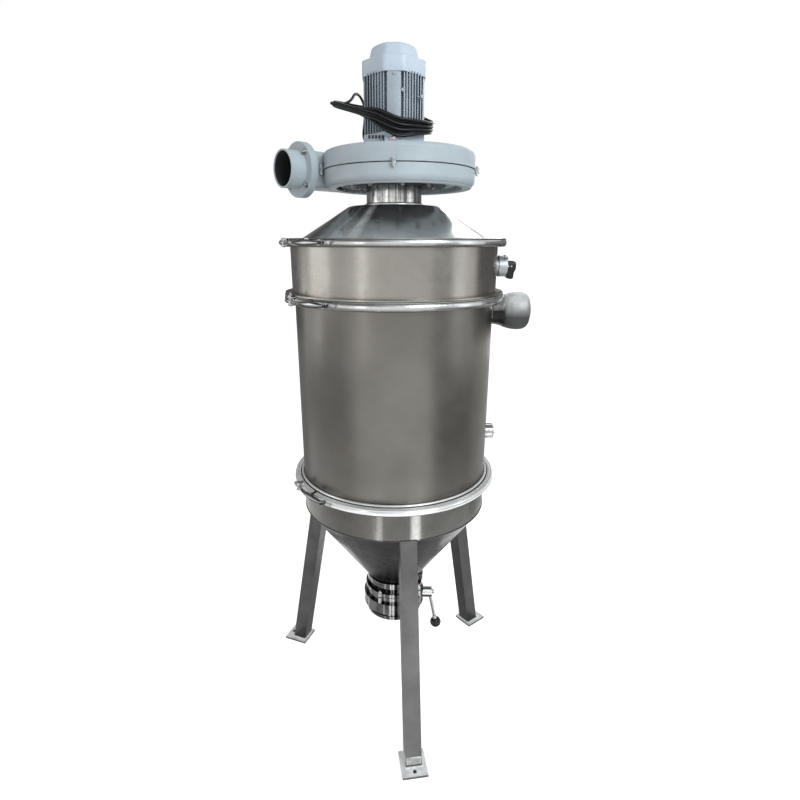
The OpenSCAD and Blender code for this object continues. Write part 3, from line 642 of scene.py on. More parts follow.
def makeRelief(settings):
    path, radii = [], []
    travel, finer = 0.0, settings["finer"]
    for a, b in zip(cableLine, cableLine[1:]):
        for k in range(finer):
            part = (travel + (b - a).length * k / finer) / settings["length"]
            if part <= 1:
                rib = settings["ribDepth"] * (1 if int(part * settings["ribs"] * 2) % 2 else -0.4)
                path.append(a.lerp(b, k / finer))
                radius = settings["rootRadius"] + (settings["tipRadius"] - settings["rootRadius"]) * part
                radii.append(radius + rib)
        travel += (b - a).length
    return vesselPiece("strain_relief", [sweep(path, radii, 20)], "blackPlastic", 60)


# Stripped cores at the cable's free end
coreSettings = {"length": 0.03, "radius": 0.0014,
                "colours": {"brown": (0.06, 0.025, 0.012), "blue": (0.015, 0.04, 0.14),
                            "green": (0.05, 0.14, 0.03)}}


def makeCores(settings):
    end, way = cableLine[-1], (cableLine[-1] - cableLine[-2]).normalized()
    side = way.orthogonal().normalized()
    cores = []
    for number, (colourName, colour) in enumerate(settings["colours"].items()):
        away = turn(120 * number, way, 3) @ side
        path = [end - way * 0.004 + away * 0.0016, end + way * 0.01 + away * 0.0022,
                end + way * 0.02 + away * (0.0035 + 0.001 * number),
                end + way * settings["length"] + away * (0.006 + 0.002 * number)]
        makeFinish("core" + colourName, colour, tuple(c * 1.5 for c in colour), (0.3, 0.45), **moulded,
                   mottle=0.01, peel=0.1, peelSize=0.001)
        cores.append(vesselPiece("cable_core_" + colourName,
                                 [sweep(smoothLine(path, 4), settings["radius"], 10)],
                                 "core" + colourName, 60))
    return cores


relief, cores = makeRelief(reliefSettings), makeCores(coreSettings)
[relief] + cores
print("cable and its relief made")


# Node trees for what repeats: fasteners on a set of points, and weld beads along a line

def newNodesTree(name, sizes):
    tree = bpy.data.node_groups.new(name, "GeometryNodeTree")
    tree.interface.new_socket("Geometry", in_out="INPUT", socket_type="NodeSocketGeometry")
    for label, value in {**sizes, "Material": None}.items():
        kind = {int: "NodeSocketInt", float: "NodeSocketFloat"}.get(type(value), "NodeSocketMaterial")
        socket = tree.interface.new_socket(label, in_out="INPUT", socket_type=kind)
        if value is not None:
            socket.default_value = value
    tree.interface.new_socket("Geometry", in_out="OUTPUT", socket_type="NodeSocketGeometry")
    return tree, addNode(tree, "NodeGroupInput")


def endTree(tree, shape, given):
    real = addNode(tree, "GeometryNodeRealizeInstances", {0: shape})[0]
    coated = addNode(tree, "GeometryNodeSetMaterial", {"Geometry": real, "Material": given["Material"]})[0]
    addNode(tree, "NodeGroupOutput", {0: coated})
    return tree


# A full turn, and a six-sided head's corner as a share of its width across the flats
fullTurn, cornerShare = 6.283, 0.577


def buildFastener():
    tree, given = newNodesTree("fasteners", {
        "Across Flats": 0.01, "Head Height": 0.006, "Washer Radius": 0.009, "Washer Height": 0.0015,
        "Stud Radius": 0.0025,
        "Stud Length": 0.002, "Sides": 6, "Seed": 1})
    joined = tree.nodes.new("GeometryNodeJoinGeometry")
    washer, head, stud = given["Washer Height"], given["Head Height"], given["Stud Length"]
    corner = given["Across Flats"] * cornerShare
    for kind, values, height, middle in (
            ("Cylinder", {"Vertices": 20, "Radius": given["Washer Radius"]}, washer * 1.2, washer * 0.4),
            ("Cylinder", {"Vertices": given["Sides"], "Radius": corner}, head * 0.85, washer + head * 0.425),
            ("Cone", {"Vertices": 20, "Radius Bottom": corner * 0.93, "Radius Top": corner * 0.74},
             head * 0.17, washer + head * 0.84),
            ("Cylinder", {"Vertices": 12, "Radius": given["Stud Radius"]}, stud, washer + head + stud * 0.4)):
        made = addNode(tree, "GeometryNodeMesh" + kind, {**values, "Depth": height})[0]
        lift = addNode(tree, "CombineXYZ", {2: middle})[0]
        connect(addNode(tree, "GeometryNodeTransform", {"Geometry": made, "Translation": lift})[0],
                joined.inputs[0])
    way = addNode(tree, "GeometryNodeInputNamedAttribute", {"Name": "facing"}, data_type="FLOAT_VECTOR")[0]
    aimed = addNode(tree, "FunctionNodeAlignRotationToVector", {"Vector": way}, axis="Z")[0]
    chance = addNode(tree, "FunctionNodeRandomValue", {3: fullTurn, "Seed": given["Seed"]},
                     data_type="FLOAT")[1]
    spin = addNode(tree, "FunctionNodeAxisAngleToRotation", {"Angle": chance})[0]
    spun = addNode(tree, "FunctionNodeRotateRotation", {0: aimed, 1: spin}, rotation_space="LOCAL")[0]
    placed = addNode(tree, "GeometryNodeInstanceOnPoints",
                     {"Points": given["Geometry"], "Instance": Wire(joined.outputs[0]), "Rotation": spun})[0]
    return endTree(tree, placed, given)


def buildWeld():
    tree, given = newNodesTree("weld bead", {"Bead Radius": 0.0025, "Pitch": 0.003, "Ripple": 0.16,
                                             "Seed": 3})
    line = addNode(tree, "GeometryNodeMeshToCurve", {0: given["Geometry"]})[0]
    fine = addNode(tree, "GeometryNodeResampleCurve", {"Curve": line, "Length": given["Pitch"] / 4.0},
                   mode="LENGTH")[0]
    along = addNode(tree, "GeometryNodeSplineParameter")["Length"]
    wave = (along * fullTurn / given["Pitch"]).calc("SINE")
    rough = addNode(tree, "TexNoise", {"W": along * 160.0 + given["Seed"], "Scale": 1.0},
                    noise_dimensions="1D")[0]
    size = wave * given["Ripple"] + (0.75 + rough * 0.5)
    ring = addNode(tree, "GeometryNodeCurvePrimitiveCircle",
                   {"Resolution": 7, "Radius": given["Bead Radius"]})[0]
    wide = addNode(tree, "GeometryNodeSetCurveRadius", {0: fine, "Radius": size})[0]
    bead = addNode(tree, "GeometryNodeCurveToMesh", {"Curve": wide, "Profile Curve": ring, "Fill Caps": True,
                                                     "Scale": size})[0]
    return endTree(tree, bead, given)


fastenerTree, weldTree = buildFastener(), buildWeld()


def growPiece(tree, name, base, values, finish, body):
    piece = addObject(name, base)
    modifier = piece.modifiers.new("grow", "NODES")
    modifier.node_group = tree
    values = {**values, "Material": finishes[finish]}
    for item in tree.interface.items_tree:
        if item.item_type == "SOCKET" and item.in_out == "INPUT" and item.name in values:
            modifier[item.identifier] = values[item.name]
    depsgraph = bpy.context.evaluated_depsgraph_get()
    made = bpy.data.meshes.new_from_object(piece.evaluated_get(depsgraph), depsgraph=depsgraph)
    piece.modifiers.remove(modifier)
    piece.data = made
    made.name = name
    made.shade_smooth()
    made.set_sharp_from_angle(angle=math.radians(35))
    return give(piece, body, None)


def bolts(name, spots, across, height, washer=None, stud=(0.0025, 0.0001), body="vessel", seed=1, sides=6):
    # Each spot is a place and the way that the fastener points
    washer = washer or (across * 0.85, 0.0012)
    sizes = {"Across Flats": across, "Head Height": height, "Washer Radius": washer[0],
             "Washer Height": washer[1],
             "Stud Radius": stud[0], "Stud Length": stud[1], "Seed": seed, "Sides": sides}
    mesh = bpy.data.meshes.new(name)
    mesh.from_pydata([tuple(place) for place, way in spots], [], [])
    way = mesh.attributes.new("facing", "FLOAT_VECTOR", "POINT")
    for item, (place, direction) in zip(way.data, spots):
        item.vector = direction
    return growPiece(fastenerTree, name, mesh, sizes, "fixingSteel", body)


def welds(name, lines, radius=0.0022, pitch=0.003, ripple=0.14, seed=3, finish="weldSteel"):
    # Each line is its points and whether it closes on itself
    points, edges = [], []
    for line, closed in lines:
        first = len(points)
        points += [tuple(p) for p in line]
        edges += [(first + i, first + i + 1) for i in range(len(line) - 1)]
        if closed:
            edges.append((len(points) - 1, first))
    mesh = bpy.data.meshes.new(name)
    mesh.from_pydata(points, edges, [])
    sizes = {"Bead Radius": radius, "Pitch": pitch, "Ripple": ripple, "Seed": seed}
    return growPiece(weldTree, name, mesh, sizes, finish, "vessel")


def arcLine(radius, z, steps, arc=(0, 360)):
    full = arc[1] - arc[0] >= 360
    return [polar(radius, arc[0] + (arc[1] - arc[0]) * i / steps, z)
            for i in range(steps if full else steps + 1)]


def splitLug(spot, radius, half):
    # Two short rounds with the parting line between them
    return [lathe(stub(radius, low, high), shift(*spot), 28)
            for low, high in ((-half, -0.0004), (0.0004, half))]


def ends(spot, half):
    # The top and the foot of a lug, each with the way out of it
    return (spot + Vector((0, 0, half)), (0, 0, 1)), (spot - Vector((0, 0, half)), (0, 0, -1))


# Blower casing: lugs on the parting line, bolts in the recess and on the suction plate

casingSettings = {"centre": (0.015, 0.008), "radius": 0.217, "parting": 1.7525,
                  "lugAngles": (266, 356, 86, 176),
                  "lugRadius": 0.0056, "lugHeight": 0.0115, "recessBolts": 14, "recessRadius": 0.1665,
                  "recessCeiling": 1.717, "plateBolts": 8, "plateRadius": 0.118, "plateBottom": 1.711}


def makeCasingFittings(settings):
    centre = Vector((*settings["centre"], 0))
    shells, heads, nuts = [], [], []
    half, radius, parting = settings["lugHeight"] / 2, settings["radius"], settings["parting"]
    for angle in settings["lugAngles"]:
        middle = centre + polar(radius + 0.006, angle, parting)
        shells += splitLug(middle, settings["lugRadius"], half)
        tall = half * 0.8
        shells.append(slab([(-0.012, -tall), (0.002, -tall), (0.002, tall), (-0.012, tall)], -0.0042, 0.0042,
                           shift(*middle) @ turn(angle) @ turn(90, "X")))
        top, foot = ends(middle, half)
        heads.append(top)
        nuts.append(foot)
    vesselPiece("casing_lugs", shells, "blowerPaint")
    bolts("casing_lug_bolts", heads, 0.008, 0.0045, stud=(0.003, 0.0001))
    bolts("casing_lug_nuts", nuts, 0.008, 0.004, stud=(0.003, 0.003), seed=4)
    place = shift(centre.x, centre.y, parting)
    lip = lathe([(radius - 0.004, 0.0002), (radius + 0.0018, 0.0002), (radius + 0.0026, 0.0012),
                 (radius + 0.0024, 0.0034), (radius + 0.0012, 0.0046), (radius - 0.004, 0.0052)], place, 160,
                True)
    ledge = lathe([(0.2035, -0.0452), (0.2043, -0.0476), (0.206, -0.0484), (0.2078, -0.0476),
                   (0.2086, -0.0452)],
                  place, 160, True)
    vesselPiece("casing_lips", [lip, ledge], "blowerPaint", 50)
    # A dark joint line at the parting, partly painted shadow under the lip, and a dark seal ring round the
    # neck's top whose black also paints the shade in the recess
    joint = lathe(tube(radius - 0.003, radius + 0.0004, -0.0022, 0.0001), place, 160, True)
    seal = lathe(tube(0.081, 0.1145, -0.0425, -0.0398), shift(0, 0, parting), 96, True)
    vesselPiece("casing_joint_and_seal_shade", [joint, seal], "shadeBlack", 50)
    down = (0, 0, -1)
    count, reach, z = settings["recessBolts"], settings["recessRadius"], settings["recessCeiling"]
    spots = [(centre + polar(reach, 360 * (i + 0.5) / count, z), down) for i in range(count)]
    bolts("recess_bolts", spots, 0.01, 0.0064, stud=(0.003, 0.004), seed=7)
    count, reach, z = settings["plateBolts"], settings["plateRadius"], settings["plateBottom"]
    spots = [(polar(reach, 360 * (i + 0.25) / count, z), down) for i in range(count)]
    bolts("suction_plate_bolts", spots, 0.01, 0.0064, seed=9)


makeCasingFittings(casingSettings)

# Bright bead round the neck's foot
footBead = [(0.0795, 1.6572), (0.0862, 1.6572), (0.0868, 1.6578), (0.0868, 1.6618), (0.0862, 1.6625),
            (0.0795, 1.6625)]
vesselPiece("neck_foot_bead", [lathe(footBead, None, 120, True)], "ringSteel", 50)

# Discharge: flange bolts and nuts, the duct's parting lugs and a black lining that paints the shade inside it

ductSettings = {"angle": 221.5, "offset": 0.15705, "flangeFront": 0.225, "flangeBack": 0.205,
                "boltRadius": 0.061,
                "lugTravel": 0.183, "lugSide": 0.056, "lugRadius": 0.0064, "lugHalf": 0.0095}


def makeDuctFittings(settings):
    # x runs across the duct, y up, z along it
    way = polar(1, settings["angle"])
    across = Vector((-way.y, way.x, 0))
    centre = -across * settings["offset"] + Vector((0, 0, casingSettings["parting"]))
    place = Matrix.Translation(centre) @ Matrix((across, (0, 0, 1), way)).transposed().to_4x4()
    flange = (("flange_bolts", "flangeFront", 1, 0.0064, {}),
              ("flange_nuts", "flangeBack", -1, 0.005, {"stud": (0.003, 0.004), "seed": 5}))
    for name, travel, sign, height, more in flange:
        spots = [polar(settings["boltRadius"], 90 * i + 45, settings[travel]) for i in range(4)]
        bolts(name, [(place @ spot, place.to_3x3() @ Vector((0, 0, sign))) for spot in spots], 0.01, height,
              **more)
    shells, heads = [], []
    for side in (-1, 1):
        spot = place @ Vector((side * settings["lugSide"], 0, settings["lugTravel"]))
        shells += splitLug(spot, settings["lugRadius"], settings["lugHalf"])
        heads += ends(spot, settings["lugHalf"])
    vesselPiece("duct_lugs", shells, "blowerPaint")
    # Black lining: painted shade inside the duct
    liner = lathe([(0, 0.13), (0.0458, 0.13), (0.0458, 0.2705), (0.0453, 0.2705), (0.0453, 0.133),
                   (0, 0.133)], place, 64)
    vesselPiece("duct_shade_lining", [liner], "shadeBlack", 50)
    bolts("duct_lug_bolts", heads, 0.0075, 0.004, seed=11)


makeDuctFittings(ductSettings)

# Motor: cowl, its screws, earth bolt, feet, cast bosses between the fins, terminal box lid, painted shade in
# the cowl's vents

cowlSettings = {"rings": [(0.082, 0.026, 1.9865, 0), (0.0825, 0.026, 1.983, 0), (0.0855, 0.027, 1.9828, 0),
                          (0.086, 0.0272, 1.984, 0), (0.086, 0.0272, 2.018, 0), (0.0852, 0.027, 2.0205, 0),
                          (0.0825, 0.026, 2.0222, 0), (0.0695, 0.0235, 2.0235, 0.15),
                          (0.0665, 0.0225, 2.026, 0.2), (0.0645, 0.022, 2.033, 0.22),
                          (0.0625, 0.0215, 2.042, 0.25), (0.0605, 0.021, 2.049, 0.3),
                          (0.0575, 0.0205, 2.0535, 0.4), (0.0535, 0.0195, 2.0565, 0.55),
                          (0.048, 0.018, 2.0582, 0.8), (0.038, 0.015, 2.059, 1.0),
                          (0.02, 0.008, 2.0594, 1.0)], "steps": 96}


def makeCowl(settings):
    # Eight-sided rings that grow rounder towards the top
    rings = []
    for half, flat, z, roundness in settings["rings"]:
        slant = (half + flat) / math.sqrt(2)
        ring = []
        for i in range(settings["steps"]):
            a = 2 * math.pi * i / settings["steps"]
            reach = min((slant if k % 2 else half) / max(0.2, math.cos(a - k * math.pi / 4))
                        for k in range(8))
            reach += (half * 1.02 - reach) * roundness
            ring.append(Vector((reach * math.cos(a), reach * math.sin(a), z)))
        rings.append(ring)
    cowl = vesselPiece("fan_cowl_shell", [stackRings(rings)], "cowlPaint", 62)
    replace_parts(cowl, "fan_cowl")


makeCowl(cowlSettings)

motorSettings = {"cowlRadius": 0.086, "cowlScrewZ": 1.999, "bodyHalf": 0.084, "earthZ": 1.822,
                 "feet": (0, 180),
                 "top": 2.0592, "vents": 20, "boxFace": 0.1243, "boxMiddle": 1.835, "boxSize": (0.088, 0.07),
                 "baseVents": 5, "baseVentStart": -0.066, "baseVentPitch": 0.009, "baseVentZ": 1.8275,
                 "bosses": ((0.0228, 1.94, 0.0795, 0), (0.073, 1.928, 0.062, 0.35), (0, 1.978, 0.083, 0))}


def makeMotorFittings(settings):
    front = -settings["bodyHalf"]
    bolts("cowl_screws", [(polar(settings["cowlRadius"], 90, settings["cowlScrewZ"]), polar(1, 90))], 0.008,
          0.004, washer=(0.0065, 0.001))
    bolts("earth_bolt", [(Vector((0, front, settings["earthZ"])), (0, -1, 0))], 0.012, 0.008,
          washer=(0.0105, 0.002), stud=(0.0035, 0.005))
    # Black slots on the base's front face: painted shade inside its vents
    places = [(settings["baseVentStart"] + settings["baseVentPitch"] * i, front, settings["baseVentZ"])
              for i in range(settings["baseVents"])]
    vents = [slab(roundedBox(0.0062, 0.0085, 0.0008, 3), -0.0006, 0.0004, facing((0, -1, 0), p), 0.0001)
             for p in places]
    vesselPiece("base_vent_shades", vents, "shadeBlack")
    shells, heads = [], []
    for angle in settings["feet"]:
        place = turn(angle)
        shells.append(slab([(0.076, -0.011), (0.09, -0.009), (0.093, 0), (0.09, 0.009), (0.076, 0.011)], 1.8,
                           1.812, place))
        heads.append((place @ Vector((0.0865, 0, 1.812)), (0, 0, 1)))
    for x, z, side, lean in settings["bosses"]:
        boss = [(0, -0.008), (0.0042, -0.008), (0.0042, 0.0035), (0.0034, 0.0044), (0, 0.0044)]
        shells.append(lathe(boss, facing((lean, -1, 0), (x, -side, z)), 20))
    vesselPiece("motor_feet_and_bosses", shells, "motorPaint")
    bolts("motor_foot_bolts", heads, 0.009, 0.0055, washer=(0.0062, 0.0012), seed=2)
    middle = facing((0, 1, 0), (0, settings["boxFace"], settings["boxMiddle"]))
    wide, tall = settings["boxSize"]
    lid = slab(roundedBox(wide, tall, 0.008), 0.0, 0.0055, middle, 0.0012)
    gasket = slab(roundedBox(wide - 0.003, tall - 0.003, 0.007), -0.0014, 0.0004, middle, 0.0003)
    vesselPiece("terminal_box_lid", [lid], "motorPaint")
    vesselPiece("terminal_box_gasket", [gasket], "gasketRubber")
    corners = [(middle @ Vector((sx * 0.037, sy * 0.028, 0.0055)), (0, 1, 0)) for sx in (-1, 1)
               for sy in (-1, 1)]
    bolts("terminal_box_screws", corners, 0.0065, 0.0026, washer=(0.0045, 0.0006), sides=16)
    # Black slots round the cowl's top: painted shade inside its vents
    slots = [slab(roundedBox(0.025, 0.0036, 0.0017, 3), -0.0006, 0.00025,
                  turn(360 * i / settings["vents"]) @ shift(0.0325, 0, settings["top"]), 0.0001)
             for i in range(settings["vents"])]
    vesselPiece("cowl_vent_shades", slots, "shadeBlack")
    bolts("cowl_top_screw", [(Vector((0, 0, settings["top"])), (0, 0, 1))], 0.01, 0.004,
          washer=(0.011, 0.0014))


makeMotorFittings(motorSettings)

# Housing wall behind the fins, open beside each pad
sleeveSettings = {"radius": (0.0725, 0.0762), "low": 1.8425, "high": 1.9868, "start": 20.5, "width": 49}
wall = tube(*sleeveSettings["radius"], sleeveSettings["low"], sleeveSettings["high"])
sectors = [arcRing(wall, 0, start, start + sleeveSettings["width"], 16) for start in
           (90 * k + sleeveSettings["start"] for k in range(4))]
vesselPiece("motor_housing_wall", sectors, "motorPaint", 50)
print("blower and motor fittings made")

# Clamp bands and latches: rolled bands, catch, keeper, lever with its bright face, hook bolt with its nuts

latchSettings = {"pinRadius": 0.34, "arc": 20, "leverHalf": 0.0075, "boltOut": 0.3338,
                 "places": {"top": (237, 1.557, 0.0105), "middle": (238, 1.402, 0.0125),
                            "bottom": (231, 0.833, 0.0125)},
                 "keeper": {"top": 31, "middle": 27, "bottom": 24},
                 "lift": {"top": 0.0, "middle": 0.0, "bottom": -0.004},
                 "steps": 28, "across": 6, "threads": 30, "threadPitch": 0.00125, "threadFrom": 0.007,
                 "nutsAlong": (0.0255, 0.0335)}
bandSettings = {
    "tall": [(0.314, -0.011), (0.323, -0.0112), (0.3262, -0.0102), (0.3285, -0.0075), (0.3298, -0.0035),
             (0.33, -0.0005), (0.3294, 0.003), (0.328, 0.0056), (0.3268, 0.0067), (0.3271, 0.0074),
             (0.3284, 0.0084), (0.3288, 0.0096), (0.328, 0.0107), (0.326, 0.0112), (0.316, 0.0112),
             (0.314, 0.0104)],
    "low": [(0.314, -0.0145), (0.324, -0.0148), (0.3275, -0.0138), (0.3295, -0.0112), (0.3303, -0.0075),
            (0.33, -0.004), (0.3288, -0.001), (0.3272, 0.0006), (0.327, 0.0014), (0.3278, 0.0026),
            (0.3276, 0.004), (0.3262, 0.005), (0.3235, 0.0054), (0.3225, 0.0048), (0.321, 0.0048),
            (0.32, 0.0056), (0.3165, 0.0062), (0.313, 0.0056), (0.3115, 0.004), (0.3112, 0.001)],
    "stretch": {"top": 1.0, "middle": 1.08, "bottom": 1.0}, "gap": 3.4,
    "drum": [(0.298, 0.833), (0.3265, 0.833), (0.3265, 0.8357), (0.3006, 0.8357), (0.3, 0.8363),
             (0.3, 1.3925), (0.3006, 1.393), (0.3265, 1.393), (0.3265, 1.402), (0.298, 1.402)],
}


def makeBands(settings):
    for key, (angle, z, _) in latchSettings["places"].items():
        profile = [(r, h * settings["stretch"][key])
                   for r, h in settings["low" if key == "bottom" else "tall"]]
        opening, gap = angle - latchSettings["arc"] / 2, settings["gap"] / 2
        band = meshPiece("clamp_band_round_" + key, [arcRing(profile, z, opening + gap, opening + 360 - gap)],
                         40)
        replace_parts(give(band, "vessel", "ringSteel" if key == "bottom" else "bandSteel"),
                    "clamp_band_" + key)
    drum = vesselPiece("main_drum_rolled", [lathe(settings["drum"], None, 224, True)], "drumSheet",
                       40)
    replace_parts(drum, "main_drum")
    bead = [(0.3045 + 0.0043 * math.cos(a), 0.0038 * math.sin(a))
            for a in map(math.radians, range(0, 360, 24))]
    vesselPiece("rim_bead", [arcRing(bead, 0.8402)], "ringSteel", 60)
    seal = [(0.3085, 0.0), (0.3125, 0.0), (0.3125, 0.0014), (0.3117, 0.0018), (0.3093, 0.0018),
            (0.3085, 0.0014)]
    seals = [arcRing(seal, 0.8356), arcRing([(r - 0.0005, h) for r, h in seal], 1.413)]
    vesselPiece("rim_seals", seals, "gasketRubber", 50)


def latchFrame(angle, z, step=0.0):
    # x points out of the drum, y along the band towards the lever's tip
    return shift(0, 0, z) @ turn(angle - step) @ Matrix.Diagonal((1, -1, 1, 1))


def leafHalf(part):
    # Half height of the lever's face, from the pin's end to its tip
    knots = [(0.0, 0.34), (0.12, 0.56), (0.3, 0.86), (0.45, 0.95), (0.62, 0.84), (0.8, 0.52), (0.93, 0.24),
             (1.0, 0.1)]
    for (a, low), (b, high) in zip(knots, knots[1:]):
        if part <= b:
            return low + (high - low) * (part - a) / (b - a)
    return knots[-1][1]


def makeCatch(settings, key, angle, z):
    # The fixed side of a latch: ears, pin and a short strap with its hook on one end of the band
    pin = latchFrame(angle, z) @ shift(settings["pinRadius"], 0, 0)
    ear = [(-0.011, -0.0045)] + [tuple(polar(0.0055, a).xy) for a in range(-80, 81, 20)] + [(-0.011, 0.0045)]
    shells = []
    for side in (-1, 1):
        middle = pin @ shift(0, 0, side * 0.0056)
        shells.append(slab(ear, -0.0008, 0.0008, middle, 0.0003))
        shells.append(lathe([(0, 0.0), (0.0032, 0.0), (0.0032, 0.0005), (0.0022, 0.0014), (0, 0.0017)],
                            middle @ facing((0, 0, side), (0, 0, side * 0.0007)), 20))
    shells.append(lathe(tube(0, 0.0024, -0.006, 0.006), pin, 20))
    strap = []
    for i in range(9):
        part = i / 8
        tall = 0.0052 * (1 - 0.35 * part) + 0.0012 * math.cos(part * 9)
        strap.append([polar(r, angle + 0.6 + 5.4 * part, z + tall * h) for r, h in
                      ((0.3296, -1), (0.3318, -1), (0.3324, -0.6), (0.3324, 0.6), (0.3318, 1), (0.3296, 1))])
    shells.append(stackRings(strap))
    hook = [polar(r, angle + a, z + h) for r, a, h in
            ((0.3322, 5.2, 0.0045), (0.335, 5.8, 0.003), (0.3354, 5.0, -0.001), (0.335, 4.4, -0.005),
             (0.3325, 4.0, -0.0078))]
    shells.append(sweep(smoothLine(hook, 4), 0.0015, 10))
    piece = vesselPiece("latch_catch_" + key, shells, "fixingSteel", 40)
    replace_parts(piece, "latch_bail_" + key)


def makeKeeper(settings, key, angle, z, half):
    # The bolt's keeper on the other end of the band
    back, out = settings["keeper"][key], settings["boltOut"]
    keeper = latchFrame(angle, z, back) @ shift(out, 0, 0)
    top = half + (0.0045 if key == "middle" else 0.001)
    shells = [lathe([(0, -half), (0.0056, -half), (0.0066, -half + 0.001), (0.0066, -0.004), (0.0058, -0.003),
                     (0.0058, 0.003), (0.0066, 0.004), (0.0066, top - 0.001), (0.0056, top), (0, top)],
                    keeper, 28)]
    plate = [(-0.016, -0.011), (0.0, -0.0085), (0.0068, -0.0045), (0.0082, 0.0), (0.0068, 0.0045),
             (0.0, 0.0085), (-0.016, 0.011)]
    for reach in (0.003 - half, half - 0.002):
        shells.append(slab(plate, -0.0014, 0.0014, keeper @ shift(0, 0, reach), 0.0005))
    inner = [polar(0.3298, angle - back + a).xy for a in (-2.6, -1.3, 0, 1.3, 2.6)]
    outer = [p * (0.3328 / 0.3298) for p in reversed(inner)]
    shells.append(slab(inner + outer, z - half + 0.001, z + half - 0.001))
    if key == "middle":
        band = latchFrame(angle, z, back)
        eye = [band @ Vector((out - 0.001, 0.0045 * math.cos(a), half + 0.006 + 0.005 * math.sin(a)))
               for a in map(math.radians, range(-60, 241, 20))]
        shells.append(sweep(eye, 0.0017, 10))
    vesselPiece("latch_keeper_" + key, shells, "fixingSteel", 40)


def leaf(settings, angle, z, radii, share, edge, crown, taper):
    # A curved leaf of a set thickness, widest in its middle
    steps, across = settings["steps"], settings["across"]
    outer, inner = [], []
    for i in range(steps + 1):
        part = i / steps
        where = angle - 0.9 - (settings["arc"] - 1.3) * part
        half = max(0.0006, leafHalf(part) * share * settings["leverHalf"] + edge - taper * part)
        for j in range(across + 1):
            v = 2 * j / across - 1
            outer.append(polar(radii[1] + crown * (1 - v * v) * (1 - (2 * part - 1) ** 8), where,
                               z + v * half))
            inner.append(polar(radii[0], where, z + v * half))
    count, row = len(outer), across + 1
    faces = []
    for i in range(steps):
        for j in range(across):
            a = i * row + j
            faces += [[a, a + 1, a + row + 1, a + row],
                      [count + a, count + a + row, count + a + row + 1, count + a + 1]]
        for a in (i * row, i * row + across):
            rim = [a, a + row, count + a + row, count + a]
            faces.append(rim if a == i * row else [a, count + a, count + a + row, a + row])
    for end in (0, steps):
        faces += [[a, count + a, count + a + 1, a + 1] for a in range(end * row, end * row + across)]
    return outer + inner, faces


def makeLever(settings, key, angle, z):
    body = "latch_" + key
    eye = latchFrame(angle, z) @ shift(settings["pinRadius"], 0, 0)
    ring = lathe([(0.0025, -0.0044), (0.0045, -0.0044), (0.0048, -0.004), (0.0048, 0.004), (0.0045, 0.0044),
                  (0.0025, 0.0044)],
                 eye, 24, True)
    # The dark strip round the lever's bright face paints the shadowed gap under the lever
    strip = leaf(settings, angle, z, (0.3352, 0.3389), 1.0, 0.0012, 0.0, 0.0)
    made = give(meshPiece("latch_strip_" + key, [strip, ring], 50), body, "gapShadowSteel")
    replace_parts(made, "latch_lever_" + key)
    face = leaf(settings, angle, z, (0.3386, 0.3394), 0.62, 0.0, 0.0014, 0.0012)
    give(meshPiece("latch_face_" + key, [face], 50), body, "brightSteel")


def makeHookBolt(settings, key, angle, z, half):
    back, out = settings["keeper"][key], settings["boltOut"]
    dome = [(0, 0.0019), (0.00286, 0.0016), (0.00494, 0.0006), (0.00546, -0.0004), (0, -0.0004)]
    heads = [lathe(dome, latchFrame(angle, z, back) @ facing((0, 0, side), (out, 0, side * half)), 24)
             for side in (-1, 1)]
    vesselPiece("latch_pin_heads_" + key, heads, "brightSteel")
    rod = latchFrame(angle, z, back - 2)
    pitch, threads = settings["threadPitch"], settings["threads"]
    profile = [(0, 0.0)]
    for i in range(threads):
        profile += [(0.0038, pitch * i + 0.0002), (0.00428, pitch * i + 0.0007)]
    profile += [(0.0036, pitch * threads + 0.0006), (0, pitch * threads + 0.0006)]
    thread = lathe(profile, rod @ facing((0, 1, 0), (out, settings["threadFrom"], 0)), 16)
    shank = lathe([(0, -0.044), (0.003, -0.044), (0.0036, -0.043), (0.0036, 0.043), (0.003, 0.044),
                   (0, 0.044)],
                  rod @ facing((0, 1, 0), (out, 0, 0)), 16)
    vesselPiece("latch_thread_" + key, [thread, shank], "fixingSteel", 20)
    bolts("latch_nuts_" + key, [(rod @ Vector((out, y, 0)), rod.to_3x3() @ Vector((0, 1, 0)))
                                for y in settings["nutsAlong"]],
          0.0115, 0.006, washer=(0.0068, 0.001), stud=(0.004, 0.0001), seed=13)


makeBands(bandSettings)
latchSpots = [(key, angle, z + latchSettings["lift"][key], half)
              for key, (angle, z, half) in latchSettings["places"].items()]
for key, angle, z, half in latchSpots:
    makeCatch(latchSettings, key, angle, z)
    makeKeeper(latchSettings, key, angle, z, half)
for key, angle, z, half in latchSpots:
    makeLever(latchSettings, key, angle, z)
    makeHookBolt(latchSettings, key, angle, z, half)
print("latches made")

# Outlet valve: lugs with studs, hub screw, the lever's hub, rod and collars

valveSettings = {"lugAngles": (241, 331, 61, 151), "lugRadius": 0.1, "low": 0.348, "high": 0.386,
                 "split": (0.3695, 0.374), "screwRadius": 0.1025, "screwTurn": 20, "screwZ": 0.308,
                 "stem": 0.328,
                 "hubEnd": 0.139, "hub": (0.0195, 0.1015, 0.1385), "rodRoot": (0.1299, 0, 0.328),
                 "knob": (0.1559, 0, 0.1945)}


